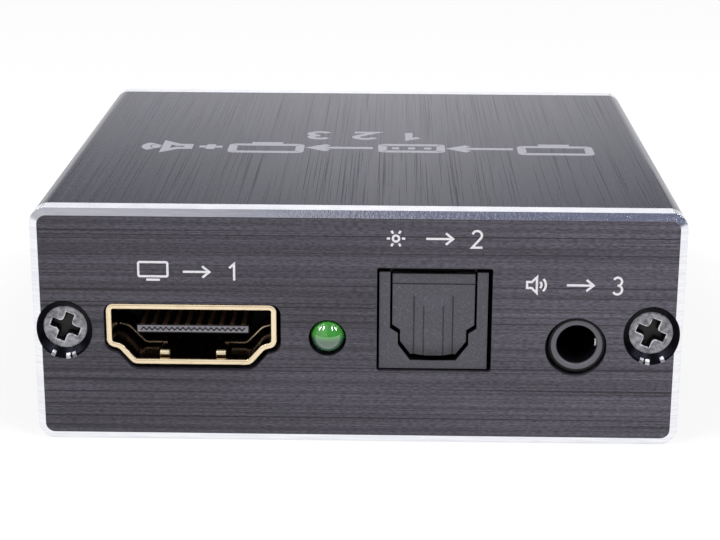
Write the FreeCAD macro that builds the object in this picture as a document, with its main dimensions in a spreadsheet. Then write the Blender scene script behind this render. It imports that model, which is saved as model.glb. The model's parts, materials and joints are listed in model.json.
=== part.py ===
"""A small audio extractor box: an extruded sleeve closed by two screwed end plates, with a circuit board
between them that carries the sockets of both ends. All sizes are in millimetres.

The part's frame has its origin at the centre of the underside, +Z up, and the output face towards -Y.
The pieces of each end are drawn in that end's own frame and then set on it: x to the right as seen from
outside, y = 0 at the plate's outer face and +y into the box.
"""
import FreeCAD, Part
import math
import os
import re

import Sketcher
from FreeCAD import Placement, Rotation, Vector

SIZES = {
    # The case
    "case_height": 21.4,
    "sleeve_length": 49.0,
    "sleeve_wall": 1.5,
    "corner_radius": 1.5,
    "plate_thick": 1.8,
    "bright_edge_width": 0.68,
    "bright_edge_depth": 0.3,
    "panel_gap": 0.18,
    # The circuit board and the rails that hold its sides
    "board_height": 5.35,
    "board_thick": 1.6,
    "board_play": 0.1,
    "board_side_gap": 0.2,
    "board_end_gap": 0.2,
    "rail_height": 1.0,
    "rail_depth": 1.1,
    "lead_below": 0.8,
    "lead_gap": 0.12,
    "lead_thick": 0.5,
    # The plate screws, their seats and the ports that they run in
    "screw_inset": 2.7,
    "screw_drop": 0.3,
    "seat_diameter": 5.0,
    "seat_sink": 0.5,
    "screw_diameter": 2.0,
    "screw_hole_gap": 0.2,
    "screw_length": 8.0,
    "screw_play": 0.05,
    "cross_span": 2.8,
    "cross_width": 0.72,
    "cross_depth": 0.7,
    "cross_taper": 12.0,
    "cross_turn": -20.0,
    "port_wall": 0.9,
    "port_slot": 1.0,
    # The two video sockets: folded metal shell, moulded insulator and contacts
    "video_gap": 1.0,
    "video_recess": 0.3,
    "video_lift": 0.15,
    "video_hole_gap": 0.29,
    "video_hole_shift_x": 0.12,
    "video_hole_shift_z": -0.13,
    "shell_width": 15.0,
    "shell_height": 5.55,
    "shell_ledge": 1.05,
    "shell_ledge_rise": 0.25,
    "shell_slant_width": 1.275,
    "shell_slant_rise": 1.45,
    "shell_length": 11.5,
    "shell_wall": 0.45,
    "shell_foot_round": 0.9,
    "shell_step_round": 0.7,
    "shell_side_round": 0.75,
    "shell_top_round": 0.65,
    "shell_tab_width": 1.4,
    "shell_tab_first": 3.0,
    "shell_tab_pitch": 5.6,
    "shell_tab_count": 2,
    "spring_spread": 5.0,
    "spring_top_spread": 6.4,
    "spring_width": 0.9,
    "spring_thick": 0.22,
    "spring_rise": 0.5,
    "spring_front": 0.75,
    "spring_length": 5.4,
    "spring_slot": 0.3,
    "moulding_gap": 0.05,
    "bay_depth": 8.2,
    "block_length": 1.9,
    "tongue_margin": 0.3,
    "tongue_thick": 0.8,
    "tongue_level": 2.5,
    "tongue_setback": 1.2,
    "contact_pitch": 1.0,
    "contact_count": 10,
    "contact_width": 0.4,
    "contact_thick": 0.2,
    "contact_setback": 0.12,
    "contact_foot": 1.0,
    # The optical output: keyed socket, sprung shutter on its pin, and the light source
    "optical_gap": 2.68,
    "optical_hole_gap": 0.29,
    "optical_hole_shift": 0.08,
    "optical_hole_rise": 0.42,
    "optical_recess": 0.3,
    "optical_width": 9.5,
    "optical_height": 8.9,
    "optical_depth": 13.5,
    "optical_bay": 9.6,
    "mouth_width": 7.6,
    "mouth_step_width": 6.2,
    "mouth_floor_width": 4.0,
    "mouth_floor": 0.75,
    "mouth_slant_top": 2.2,
    "mouth_step_low": 3.25,
    "mouth_step_high": 3.72,
    "mouth_roof": 0.35,
    "mouth_notch": 1.3,
    "optical_axis": 3.72,
    "ferrule_bore": 3.3,
    "optical_peg": 1.6,
    "optical_peg_depth": 9.5,
    "optical_peg_spread": 7.0,
    "shutter_setback": 0.15,
    "shutter_thick": 0.8,
    "shutter_side_gap": 0.2,
    "shutter_drop_gap": 0.3,
    "shutter_foot_gap": 0.56,
    "shutter_groove": 7.79,
    "shutter_axis_drop": 0.9,
    "shutter_axis_back": 1.1,
    "shutter_knuckle": 0.75,
    "shutter_knuckle_width": 1.6,
    "shutter_skin": 0.35,
    "shutter_lip": 0.3,
    "rib_width": 3.3,
    "rib_crest_width": 1.6,
    "rib_height": 5.4,
    "rib_bevel": 0.85,
    "rib_raise": 0.4,
    "line_width": 0.11,
    "line_depth": 0.12,
    "hinge_pin": 0.8,
    "hinge_play": 0.05,
    "pin_play": 0.02,
    "torsion_wire": 0.14,
    "torsion_radius": 0.6,
    "torsion_turns": 5,
    "torsion_turn_gap": 0.05,
    "torsion_leg": 2.4,
    "torsion_stub": 0.4,
    "emitter_width": 5.0,
    "emitter_height": 5.0,
    "emitter_thick": 1.8,
    "emitter_lens": 2.4,
    "emitter_lens_length": 1.2,
    "emitter_lens_bevel": 0.5,
    "emitter_play": 0.1,
    "optical_lead_pitch": 2.0,
    # The audio output: moulded jack with blade contacts
    "jack_gap": 5.0,
    "audio_gap": 1.3,
    "jack_hole_gap": 0.225,
    "jack_hole_shift_x": -0.1,
    "jack_hole_shift_z": -0.12,
    "jack_recess": 0.3,
    "jack_collar": 4.95,
    "jack_collar_length": 1.6,
    "jack_bore": 3.6,
    "jack_lead_in": 0.2,
    "jack_bore_plain": 3.2,
    "jack_relief": 0.1,
    "jack_bore_depth": 12.0,
    "jack_width": 6.4,
    "jack_height": 4.7,
    "jack_depth": 11.5,
    "blade_thick": 0.3,
    "blade_width": 1.1,
    "blade_first": 2.4,
    "blade_pitch": 3.6,
    "blade_slot_gap": 0.1,
    "blade_top": 1.1,
    # The status lamp
    "lamp_gap": 2.7,
    "lamp_hole_gap": 0.15,
    "lamp_hole_shift_x": -0.03,
    "lamp_hole_shift_z": -0.1,
    "lamp_rise": 2.94,
    "lamp_diameter": 3.0,
    "lamp_length": 5.05,
    "lamp_proud": 0.85,
    "lamp_flange": 3.8,
    "lamp_flange_thick": 1.0,
    "lamp_lead_pitch": 2.54,
    "lamp_lead_back": 1.5,
    # The power inlet
    "power_gap": 2.4,
    "power_hole_gap": 0.2,
    "power_recess": 0.2,
    "power_rise": 4.9,
    "power_collar": 7.9,
    "power_bore": 6.2,
    "power_bore_depth": 9.5,
    "power_width": 9.0,
    "power_height": 9.6,
    "power_depth": 12.0,
    "power_pin": 2.0,
    "power_pin_setback": 1.0,
    "power_pin_bevel": 0.4,
    "power_tab_width": 2.4,
    "power_tab_thick": 0.4,
    "power_leaf_length": 6.0,
    # The slide switch
    "switch_width": 12.7,
    "switch_height": 5.4,
    "switch_wall": 0.35,
    "switch_play": 0.08,
    "switch_travel": 2.0,
    "switch_base_depth": 3.0,
    "switch_carriage_width": 4.6,
    "switch_carriage_thick": 1.4,
    "switch_bridge_thick": 0.2,
    "knob_width": 2.0,
    "knob_height": 1.8,
    "knob_proud": 2.0,
    "knob_slot_gap": 0.3,
    "switch_pin_pitch": 2.0,
    "switch_pin_rows": 1.8,
    "switch_pin_count": 4,
    "switch_leg_width": 1.5,
    # The chips and other parts on the board
    "chip_standoff": 0.1,
    "chip_bevel": 0.1,
    "chip_lead_reach": 0.8,
    "chip_lead_width": 0.4,
    "chip_lead_thick": 0.2,
    "video_chip_gap": 1.15,
    "video_chip_y": 0.5,
    "video_chip_side": 10.0,
    "video_chip_height": 1.4,
    "video_chip_pitch": 0.8,
    "video_chip_side_leads": 12,
    "audio_chip_gap": 2.05,
    "audio_chip_y": -4.0,
    "audio_chip_length": 9.9,
    "audio_chip_side_leads": 8,
    "memory_chip_gap": 1.05,
    "memory_chip_y": -4.0,
    "memory_chip_length": 4.9,
    "memory_chip_side_leads": 4,
    "small_chip_width": 3.9,
    "small_chip_height": 1.5,
    "small_chip_pitch": 1.27,
    "regulator_gap": 0.55,
    "regulator_y": 6.0,
    "regulator_length": 6.5,
    "regulator_width": 3.5,
    "regulator_height": 1.6,
    "regulator_pitch": 2.3,
    "regulator_side_leads": 3,
    "crystal_gap": 0.8,
    "crystal_y": 5.0,
    "crystal_length": 11.0,
    "crystal_width": 4.5,
    "crystal_height": 3.5,
    "crystal_round": 2.15,
    "crystal_bevel": 0.4,
    "can_gap": 0.75,
    "can_y": 3.0,
    "can_pitch": 7.4,
    "can_diameter": 6.3,
    "can_height": 5.4,
    "can_base": 6.6,
    "can_base_thick": 0.8,
    "inductor_gap": 0.85,
    "inductor_y": 3.0,
    "inductor_side": 5.0,
    "inductor_height": 3.0,
    "inductor_round": 1.0,
    "ceramic_length": 1.6,
    "ceramic_width": 0.8,
    "ceramic_height": 0.7,
    "ceramic_pitch": 2.4,
    "ceramic_count": 4,
    "ceramic_row_gap": 2.4,
}

PLACES = {
    "front_face": "-(sleeve_length / 2 + plate_thick)",
    "rear_face": "sleeve_length / 2 + plate_thick",
    "board_top": "board_height + board_thick",
    "screw_hole": "screw_diameter + 2 * screw_hole_gap",
    "lamp_hole": "lamp_diameter + 2 * lamp_hole_gap",
    "jack_hole": "jack_collar + 2 * jack_hole_gap",
    "power_hole": "power_collar + 2 * power_hole_gap",
    "video_span": "video_gap + shell_width + 2 * panel_gap",
    "lamp_span": "lamp_gap + places.lamp_hole",
    "optical_span": "optical_gap + optical_width + 2 * panel_gap",
    "audio_span": "jack_gap + places.jack_hole + audio_gap",
    "sockets_span": "places.video_span + places.lamp_span + places.optical_span + places.audio_span",
    "case_width": "places.sockets_span + seat_diameter + 2 * screw_inset",
    "screw_x": "places.case_width / 2 - screw_inset",
    "screw_z": "case_height / 2 - screw_drop",
    "seat_edge": "places.screw_x - seat_diameter / 2",
    "port_bore": "screw_diameter / 2 + screw_play",
    "port_edge": "places.screw_x - places.port_bore - port_wall",
    "video_x": "-(places.seat_edge - video_gap - panel_gap - shell_width / 2)",
    "video_z": "board_height + board_thick + video_lift",
    "shell_step_half": "shell_width / 2 - shell_ledge",
    "shell_foot_half": "shell_width / 2 - shell_ledge - shell_slant_width",
    "shell_slant_angle": "atan(shell_slant_rise / shell_slant_width)",
    "shell_ledge_angle": "atan(shell_ledge_rise / shell_ledge)",
    "shell_foot_out": "tan(places.shell_slant_angle / 2)",
    "shell_step_turn": "cos((places.shell_slant_angle - places.shell_ledge_angle) / 2)",
    "shell_step_mean": "(places.shell_slant_angle + places.shell_ledge_angle) / 2",
    "shell_step_out": "sin(places.shell_step_mean) / places.shell_step_turn",
    "shell_step_down": "cos(places.shell_step_mean) / places.shell_step_turn",
    "shell_side_down": "cos(places.shell_ledge_angle) / (1 + sin(places.shell_ledge_angle))",
    "shell_inner": "shell_wall + moulding_gap",
    "tongue_width": "(contact_count - 1) * contact_pitch + contact_width + 2 * tongue_margin",
    "lamp_x": "places.video_x + shell_width / 2 + panel_gap + lamp_gap + places.lamp_hole / 2",
    "lamp_z": "board_height + board_thick + lamp_rise",
    "optical_x": "places.lamp_x + places.lamp_hole / 2 + optical_gap + panel_gap + optical_width / 2",
    "mouth_top": "optical_height - mouth_roof",
    "shutter_y": "optical_recess + shutter_setback",
    "axis_y": "optical_recess + shutter_setback + shutter_axis_back",
    "axis_z": "optical_height - mouth_roof - shutter_axis_drop",
    "audio_x": "places.seat_edge - audio_gap - places.jack_hole / 2",
    "power_x": "places.seat_edge - power_gap - places.power_hole / 2",
    "mode_x": "(places.video_x + shell_width / 2 + places.power_x - places.power_hole / 2) / 2",
    "switch_front": "plate_thick + switch_play",
    "carriage_y": "plate_thick + 2 * switch_play + switch_wall",
    "bridge_y": "plate_thick + 2 * switch_play + switch_wall + switch_carriage_thick",
    "base_y": "plate_thick + 3 * switch_play + switch_wall + switch_carriage_thick + switch_bridge_thick",
    "inductor_x": "-(places.port_edge - inductor_gap - inductor_side / 2)",
    "inductor_edge": "places.inductor_x + inductor_side / 2",
    "regulator_x": "places.inductor_edge + regulator_gap + regulator_length / 2",
    "memory_chip_x": "places.inductor_edge + memory_chip_gap + memory_chip_length / 2",
    "regulator_edge": "places.regulator_x + regulator_length / 2",
    "video_chip_x": "places.regulator_edge + video_chip_gap + chip_lead_reach + video_chip_side / 2",
    "video_chip_edge": "places.video_chip_x + video_chip_side / 2 + chip_lead_reach",
    "audio_chip_x": "places.video_chip_edge + audio_chip_gap + audio_chip_length / 2",
    "can_x": "places.port_edge - can_gap - can_base / 2",
    "crystal_x": "places.can_x - can_base / 2 - crystal_gap - crystal_length / 2",
    "lead_bottom": "-(board_thick + lead_below)",
}

NORMALS = {"XY_Plane": "+Z", "XZ_Plane": "-Y", "YZ_Plane": "+X"}
TINY = 1e-4


def tied(text):
    """The expression with every size led by the sheet that holds it."""
    def lead(match):
        word = match[0]
        if word in SIZES:
            return "sizes." + word
        return "places." + word if word in PLACES else word
    return re.sub(r"(?<![\w.])[a-z_]+(?![\w(.])", lead, str(text))


def make_sheets():
    """The sheet of driving sizes, and the sheet of the places that follow from them."""
    sizes = doc.addObject("Spreadsheet::Sheet", "sizes")
    for row, (name, number) in enumerate(SIZES.items(), 1):
        sizes.set(f"A{row}", name.replace("_", " "))
        sizes.set(f"B{row}", str(number))
        sizes.setAlias(f"B{row}", name)
    places = doc.addObject("Spreadsheet::Sheet", "places")
    for row, (name, formula) in enumerate(PLACES.items(), 1):
        places.set(f"A{row}", name.replace("_", " "))
        places.set(f"B{row}", "=" + tied(formula))
        places.setAlias(f"B{row}", name)
        doc.recompute()
    return sizes


def value(text):
    """The number that an expression on the sheets gives."""
    return float(sheet.evalExpression(tied(text)))


def bind(item, **links):
    """Tie an object's properties to expressions on the sheets."""
    for name, text in links.items():
        item.setExpression(name, tied(text))


def new_body(name):
    """A PartDesign body, which becomes the node of that name."""
    body = doc.addObject("PartDesign::Body", name)
    body.Label = name
    body.AllowCompound = True
    NODES.append(body)
    return body


def datum(body, role):
    """One of the body's own origin planes or axes."""
    return next(item for item in body.Origin.OriginFeatures if item.Role == role)


def sketch_on(body, plane, at="0"):
    """An empty sketch on an origin plane, moved to the stated coordinate along that plane's axis."""
    sketch = body.newObject("Sketcher::SketchObject", body.Name + "_sketch")
    sketch.AttachmentSupport = [(datum(body, plane), "")]
    sketch.MapMode = "FlatFace"
    sketch.setExpression("AttachmentOffset.Base.z", tied(f"-({at})" if plane == "XZ_Plane" else at))
    return sketch


def hold(sketch, kind, geometry, point, text):
    """Hold a point of the sketch at a coordinate given by an expression."""
    index = sketch.addConstraint(Sketcher.Constraint(kind, -1, 1, geometry, point, value(text)))
    sketch.setExpression(f"Constraints[{index}]", tied(text))


def trace(sketch, *corners):
    """A closed outline. A corner is (u, v), or (u, v, radius) where an arc leads on to the next corner."""
    first = sketch.GeometryCount
    spots = [Vector(value(corner[0]), value(corner[1]), 0) for corner in corners]
    for index, corner in enumerate(corners):
        start, end = spots[index], spots[(index + 1) % len(spots)]
        if len(corner) == 2:
            sketch.addGeometry(Part.LineSegment(start, end))
            continue
        radius = value(corner[2])
        chord = end - start
        rise = abs(radius) - math.sqrt(max(radius ** 2 - chord.Length ** 2 / 4, 0))
        side = Vector(chord.y, -chord.x, 0).normalize() * math.copysign(rise, radius)
        sketch.addGeometry(Part.Arc(start, (start + end) / 2 + side, end))
    for index, corner in enumerate(corners):
        here, there = first + index, first + (index + 1) % len(corners)
        ends = arc_ends(sketch, here, spots[(index + 1) % len(spots)])
        starts = arc_ends(sketch, there, spots[(index + 1) % len(spots)])
        sketch.addConstraint(Sketcher.Constraint("Coincident", here, ends, there, starts))
        point = arc_ends(sketch, here, spots[index])
        hold(sketch, "DistanceX", here, point, corner[0])
        hold(sketch, "DistanceY", here, point, corner[1])
        if len(corner) == 3:
            size = f"abs({corner[2]})"
            held = sketch.addConstraint(Sketcher.Constraint("Radius", here, abs(value(corner[2]))))
            sketch.setExpression(f"Constraints[{held}]", tied(size))


def arc_ends(sketch, geometry, spot):
    """Which end of an edge of the sketch, 1 or 2, lies at the spot."""
    return min((1, 2), key=lambda end: (sketch.getPoint(geometry, end) - spot).Length)


def oblong(sketch, u, v, width, height):
    """A rectangle about the centre (u, v)."""
    left, right = f"{u} - ({width}) / 2", f"{u} + ({width}) / 2"
    low, high = f"{v} - ({height}) / 2", f"{v} + ({height}) / 2"
    trace(sketch, (left, low), (right, low), (right, high), (left, high))


def ring(sketch, u, v, radius):
    """A circle about (u, v)."""
    circle = sketch.addGeometry(Part.Circle(Vector(value(u), value(v), 0), Vector(0, 0, 1), value(radius)))
    hold(sketch, "DistanceX", circle, 3, u)
    hold(sketch, "DistanceY", circle, 3, v)
    index = sketch.addConstraint(Sketcher.Constraint("Radius", circle, value(radius)))
    sketch.setExpression(f"Constraints[{index}]", tied(radius))


def grow(body, kind, sketch, length, toward, both_ways=False):
    """A Pad or a Pocket of the sketch: that far towards one side, or half each way, or through all."""
    before = body.Shape.Volume if body.Tip else 0.0
    feature = body.newObject("PartDesign::" + kind, f"{body.Name}_{kind.lower()}")
    feature.Profile = sketch
    natural = NORMALS[sketch.AttachmentSupport[0][0].Role] == toward
    feature.Reversed = natural if kind == "Pocket" else not natural
    if both_ways:
        feature.SideType = "Symmetric"
    if length is None:
        feature.Type = "ThroughAll"
    else:
        bind(feature, Length=length)
    body.Tip = feature
    doc.recompute()
    changed = body.Shape.Volume - before
    if changed * (-1 if kind == "Pocket" else 1) <= 0:
        raise ValueError(f"{feature.Name} changed nothing")
    return feature


def pad(body, sketch, length, toward, both_ways=False):
    """Material added on the sketch."""
    return grow(body, "Pad", sketch, length, toward, both_ways)


def pocket(body, sketch, length, toward, both_ways=False):
    """Material cut away behind the sketch."""
    return grow(body, "Pocket", sketch, length, toward, both_ways)


def spin(body, kind, sketch, axis):
    """A Revolution or a Groove of the sketch, all the way round one of its own axes."""
    feature = body.newObject("PartDesign::" + kind, f"{body.Name}_{kind.lower()}")
    feature.Profile = sketch
    feature.ReferenceAxis = (sketch, [axis])
    feature.Angle = 360
    body.Tip = feature
    doc.recompute()
    return feature


def repeat(body, feature, axis, pitch, count):
    """Copies of the feature in a row, a pitch apart."""
    row = body.newObject("PartDesign::LinearPattern", body.Name + "_row")
    row.Originals = [feature]
    row.Direction = (datum(body, axis), [""])
    row.Mode = "Spacing"
    bind(row, Offset=pitch, Occurrences=count)
    body.Tip = row
    doc.recompute()
    return row


def mirror(body, features, plane):
    """The same features on the other side of one of the body's origin planes."""
    twin = body.newObject("PartDesign::Mirrored", body.Name + "_mirrored")
    twin.Originals = features
    twin.MirrorPlane = (datum(body, plane), [""])
    body.Tip = twin
    doc.recompute()
    return twin


def edges_of(feature, test):
    """Names of the feature's edges that pass the test."""
    return [f"Edge{number}" for number, edge in enumerate(feature.Shape.Edges, 1) if test(edge)]


def edge_along(axis, corners):
    """A test for straight edges along an axis that run through one of the corners, given across it."""
    across = {"X": ("y", "z"), "Y": ("x", "z"), "Z": ("x", "y")}[axis]
    spots = [(value(u), value(v)) for u, v in corners]

    def test(edge):
        start, end = edge.Vertexes[0].Point, edge.Vertexes[-1].Point
        if any(abs(getattr(start, name) - getattr(end, name)) > TINY for name in across):
            return False
        if (end - start).Length < TINY:
            return False
        return any(abs(getattr(start, across[0]) - u) < TINY and abs(getattr(start, across[1]) - v) < TINY
                   for u, v in spots)
    return test


def edge_in(axis, at):
    """A test for edges that lie wholly in the plane across an axis at a coordinate."""
    place = value(at)

    def test(edge):
        box = edge.BoundBox
        low, high = getattr(box, axis + "Min"), getattr(box, axis + "Max")
        return abs(low - place) < TINY and abs(high - place) < TINY
    return test


def round_off(body, test, radius):
    """A fillet on the edges of the body's tip that pass the test."""
    base = body.Tip
    feature = body.newObject("PartDesign::Fillet", body.Name + "_fillet")
    feature.Base = (base, edges_of(base, test))
    bind(feature, Radius=radius)
    body.Tip = feature
    doc.recompute()
    return feature


def bevel(body, test, size, other=None, flip=False):
    """A chamfer on the edges of the body's tip that pass the test."""
    base = body.Tip
    feature = body.newObject("PartDesign::Chamfer", body.Name + "_chamfer")
    feature.Base = (base, edges_of(base, test))
    if other:
        feature.ChamferType = "Two distances"
        feature.FlipDirection = flip
        bind(feature, Size=size, Size2=other)
    else:
        bind(feature, Size=size)
    body.Tip = feature
    doc.recompute()
    return feature


def set_on(item, end, x="0", y="0", z="0"):
    """Put an item drawn in an end's frame on that end of the box, "front" or "rear"."""
    if end == "front":
        bind(item, **{"Placement.Base.x": x, "Placement.Base.y": f"front_face + {y}"})
    else:
        item.Placement = Placement(Vector(), Rotation(Vector(0, 0, 1), 180))
        bind(item, **{"Placement.Base.x": f"-({x})", "Placement.Base.y": f"rear_face - ({y})"})
    bind(item, **{"Placement.Base.z": z})


def drill_board(end, x, y, width, depth):
    """Note a hole that a lead needs in the board, given in an end's frame."""
    if end == "front":
        HOLES.append((x, f"front_face + {y}", width, depth))
    else:
        HOLES.append((f"-({x})", f"rear_face - ({y})", width, depth))


def build_sleeve():
    """The extruded sleeve: four walls, two rails each side for the board, and two open screw ports."""
    body = new_body("housing_sleeve")
    start = "-sleeve_length / 2"
    outer = sketch_on(body, "XZ_Plane", start)
    oblong(outer, "0", "case_height / 2", "case_width", "case_height")
    pad(body, outer, "sleeve_length", "+Y")
    corners = [(f"{side} * case_width / 2", level) for side in (-1, 1) for level in ("0", "case_height")]
    round_off(body, edge_along("Y", corners), "corner_radius")
    cavity = sketch_on(body, "XZ_Plane", start)
    oblong(cavity, "0", "case_height / 2", "case_width - 2 * sleeve_wall", "case_height - 2 * sleeve_wall")
    pocket(body, cavity, None, "+Y")
    rails = sketch_on(body, "XZ_Plane", start)
    for side in (-1, 1):
        middle = f"{side} * (case_width / 2 - sleeve_wall - rail_depth / 2 + panel_gap / 2)"
        width = "rail_depth + panel_gap"
        oblong(rails, middle, "board_height - board_play - rail_height / 2", width, "rail_height")
        oblong(rails, middle, "board_top + board_play + rail_height / 2", width, "rail_height")
    pad(body, rails, "sleeve_length", "+Y")
    ports = sketch_on(body, "XZ_Plane", start)
    bores = sketch_on(body, "XZ_Plane", start)
    slots = sketch_on(body, "XZ_Plane", start)
    for side in (-1, 1):
        ring(ports, f"{side} * screw_x", "screw_z", "port_bore + port_wall")
        ring(bores, f"{side} * screw_x", "screw_z", "port_bore")
        oblong(slots, f"{side} * (screw_x - port_bore - port_wall)", "screw_z",
               "2 * (port_bore + port_wall)", "port_slot")
    pad(body, ports, "sleeve_length", "+Y")
    pocket(body, bores, None, "+Y")
    pocket(body, slots, None, "+Y")


def shell_outline(gap):
    """The outline of a video socket's shell, moved outwards by a gap, from its middle and underside.
    Each corner moves along the line that halves it."""
    return [(f"{side} * ({half} + {share})", f"{level}")
            for side, order in ((1, 1), (-1, -1))
            for half, share, level in [
                ("shell_foot_half", f"({gap}) * shell_foot_out", f"-({gap})"),
                ("shell_step_half", f"({gap}) * shell_step_out",
                 f"shell_slant_rise - ({gap}) * shell_step_down"),
                ("shell_width / 2", f"({gap})",
                 f"shell_slant_rise + shell_ledge_rise - ({gap}) * shell_side_down"),
                ("shell_width / 2", f"({gap})", f"shell_height + ({gap})"),
            ][::order]]


def round_shell(body, gap, x="0", z="0"):
    """Round the eight long edges of a form that has the shell's outline."""
    corners = [(f"{x} + {u}", f"{z} + {v}") for u, v in shell_outline(gap)]
    foot, step, side, top = ([corners[first], corners[7 - first]] for first in range(4))
    round_off(body, edge_along("Y", foot), f"shell_foot_round + ({gap})")
    round_off(body, edge_along("Y", step), f"shell_step_round - ({gap})")
    round_off(body, edge_along("Y", side), f"shell_side_round + ({gap})")
    round_off(body, edge_along("Y", top), f"shell_top_round + ({gap})")


def build_plate(name, end, cut_sockets):
    """An end plate: a bright bevelled edge, two screw seats, and what cut_sockets takes out of it."""
    body = new_body(name)
    outline = sketch_on(body, "XZ_Plane")
    oblong(outline, "0", "case_height / 2", "case_width", "case_height")
    pad(body, outline, "plate_thick", "+Y")
    corners = [(f"{side} * case_width / 2", level) for side in (-1, 1) for level in ("0", "case_height")]
    round_off(body, edge_along("Y", corners), "corner_radius")
    bevel(body, edge_in("Y", "0"), "bright_edge_depth", "bright_edge_width")
    cut_sockets(body)
    holes = sketch_on(body, "XZ_Plane")
    for side in (-1, 1):
        ring(holes, f"{side} * screw_x", "screw_z", "screw_hole / 2")
    pocket(body, holes, None, "+Y")
    for side in (-1, 1):
        seat = body.newObject("PartDesign::SubtractiveCone", name + "_seat")
        seat.AttachmentSupport = [(datum(body, "XZ_Plane"), "")]
        seat.MapMode = "FlatFace"
        seat.AttachmentOffset = Placement(Vector(), Rotation(Vector(1, 0, 0), 180))
        bind(seat, Radius1="seat_diameter / 2", Radius2="screw_hole / 2",
             Height="(seat_diameter - screw_hole) / 2",
             **{"AttachmentOffset.Base.x": f"{side} * screw_x", "AttachmentOffset.Base.y": "screw_z"})
        body.Tip = seat
        doc.recompute()
    set_on(body, end)


def cut_video(body):
    """The opening for a video socket, parallel to its shell and a little low and to one side."""
    sketch = sketch_on(body, "XZ_Plane")
    x, z = "video_x + video_hole_shift_x", "video_z + video_hole_shift_z"
    trace(sketch, *[(f"{x} + {u}", f"{z} + {v}") for u, v in shell_outline("video_hole_gap")])
    pocket(body, sketch, None, "+Y")
    round_shell(body, "video_hole_gap", x, z)


def cut_front(body):
    """The front plate's openings: video, lamp, optical and audio."""
    cut_video(body)
    optical = sketch_on(body, "XZ_Plane")
    low, high = "board_top - panel_gap", "board_top + optical_height + optical_hole_rise"
    left, right = [f"optical_x + optical_hole_shift + {side} * (optical_width / 2 + optical_hole_gap)"
                   for side in (-1, 1)]
    trace(optical, (left, low), (right, low), (right, high), (left, high))
    pocket(body, optical, None, "+Y")
    round_off(body, edge_along("Y", [(x, z) for x in (left, right) for z in (low, high)]), "panel_gap")
    rounds = sketch_on(body, "XZ_Plane")
    ring(rounds, "lamp_x + lamp_hole_shift_x", "lamp_z + lamp_hole_shift_z", "lamp_hole / 2")
    ring(rounds, "audio_x + jack_hole_shift_x", "board_top + jack_height / 2 + jack_hole_shift_z",
         "jack_hole / 2")
    pocket(body, rounds, None, "+Y")


def cut_rear(body):
    """The rear plate's openings: video, slide switch and power."""
    cut_video(body)
    rest = sketch_on(body, "XZ_Plane")
    ring(rest, "power_x", "board_top + power_rise", "power_hole / 2")
    oblong(rest, "mode_x", "board_top + switch_height / 2",
           "knob_width + 2 * (switch_travel + knob_slot_gap)", "knob_height + 2 * knob_slot_gap")
    pocket(body, rest, None, "+Y")


def build_screws(name, end):
    """The two countersunk screws of a plate, each with a cross recess."""
    group = doc.addObject("Part::Compound", name)
    group.Label = name
    links = []
    for number, side in enumerate((-1, 1), 1):
        body = doc.addObject("PartDesign::Body", f"{name}_{number}")
        profile = sketch_on(body, "YZ_Plane")
        rim = "(seat_diameter / 2 - seat_sink - screw_play)"
        cone = f"(seat_sink + {rim} - screw_diameter / 2)"
        trace(profile, ("seat_sink", "0"), ("seat_sink", rim), (cone, "screw_diameter / 2"),
              ("seat_sink + screw_length - screw_diameter / 2", "screw_diameter / 2"),
              ("seat_sink + screw_length", "0"))
        spin(body, "Revolution", profile, "H_Axis")
        cross = sketch_on(body, "XZ_Plane", "seat_sink")
        bind(cross, **{"AttachmentOffset.Rotation.Angle": "cross_turn"})
        arm, half = "cross_span / 2", "cross_width / 2"
        trace(cross, (arm, f"-{half}"), (arm, half), (half, half), (half, arm), (f"-{half}", arm),
              (f"-{half}", half), (f"-{arm}", half), (f"-{arm}", f"-{half}"), (f"-{half}", f"-{half}"),
              (f"-{half}", f"-{arm}"), (half, f"-{arm}"), (half, f"-{half}"))
        recess = pocket(body, cross, "cross_depth", "+Y")
        bind(recess, TaperAngle="-cross_taper")
        doc.recompute()
        set_on(body, end, f"{side} * screw_x", "0", "screw_z")
        links.append(body)
    group.Links = links
    doc.recompute()
    NODES.append(group)


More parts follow.
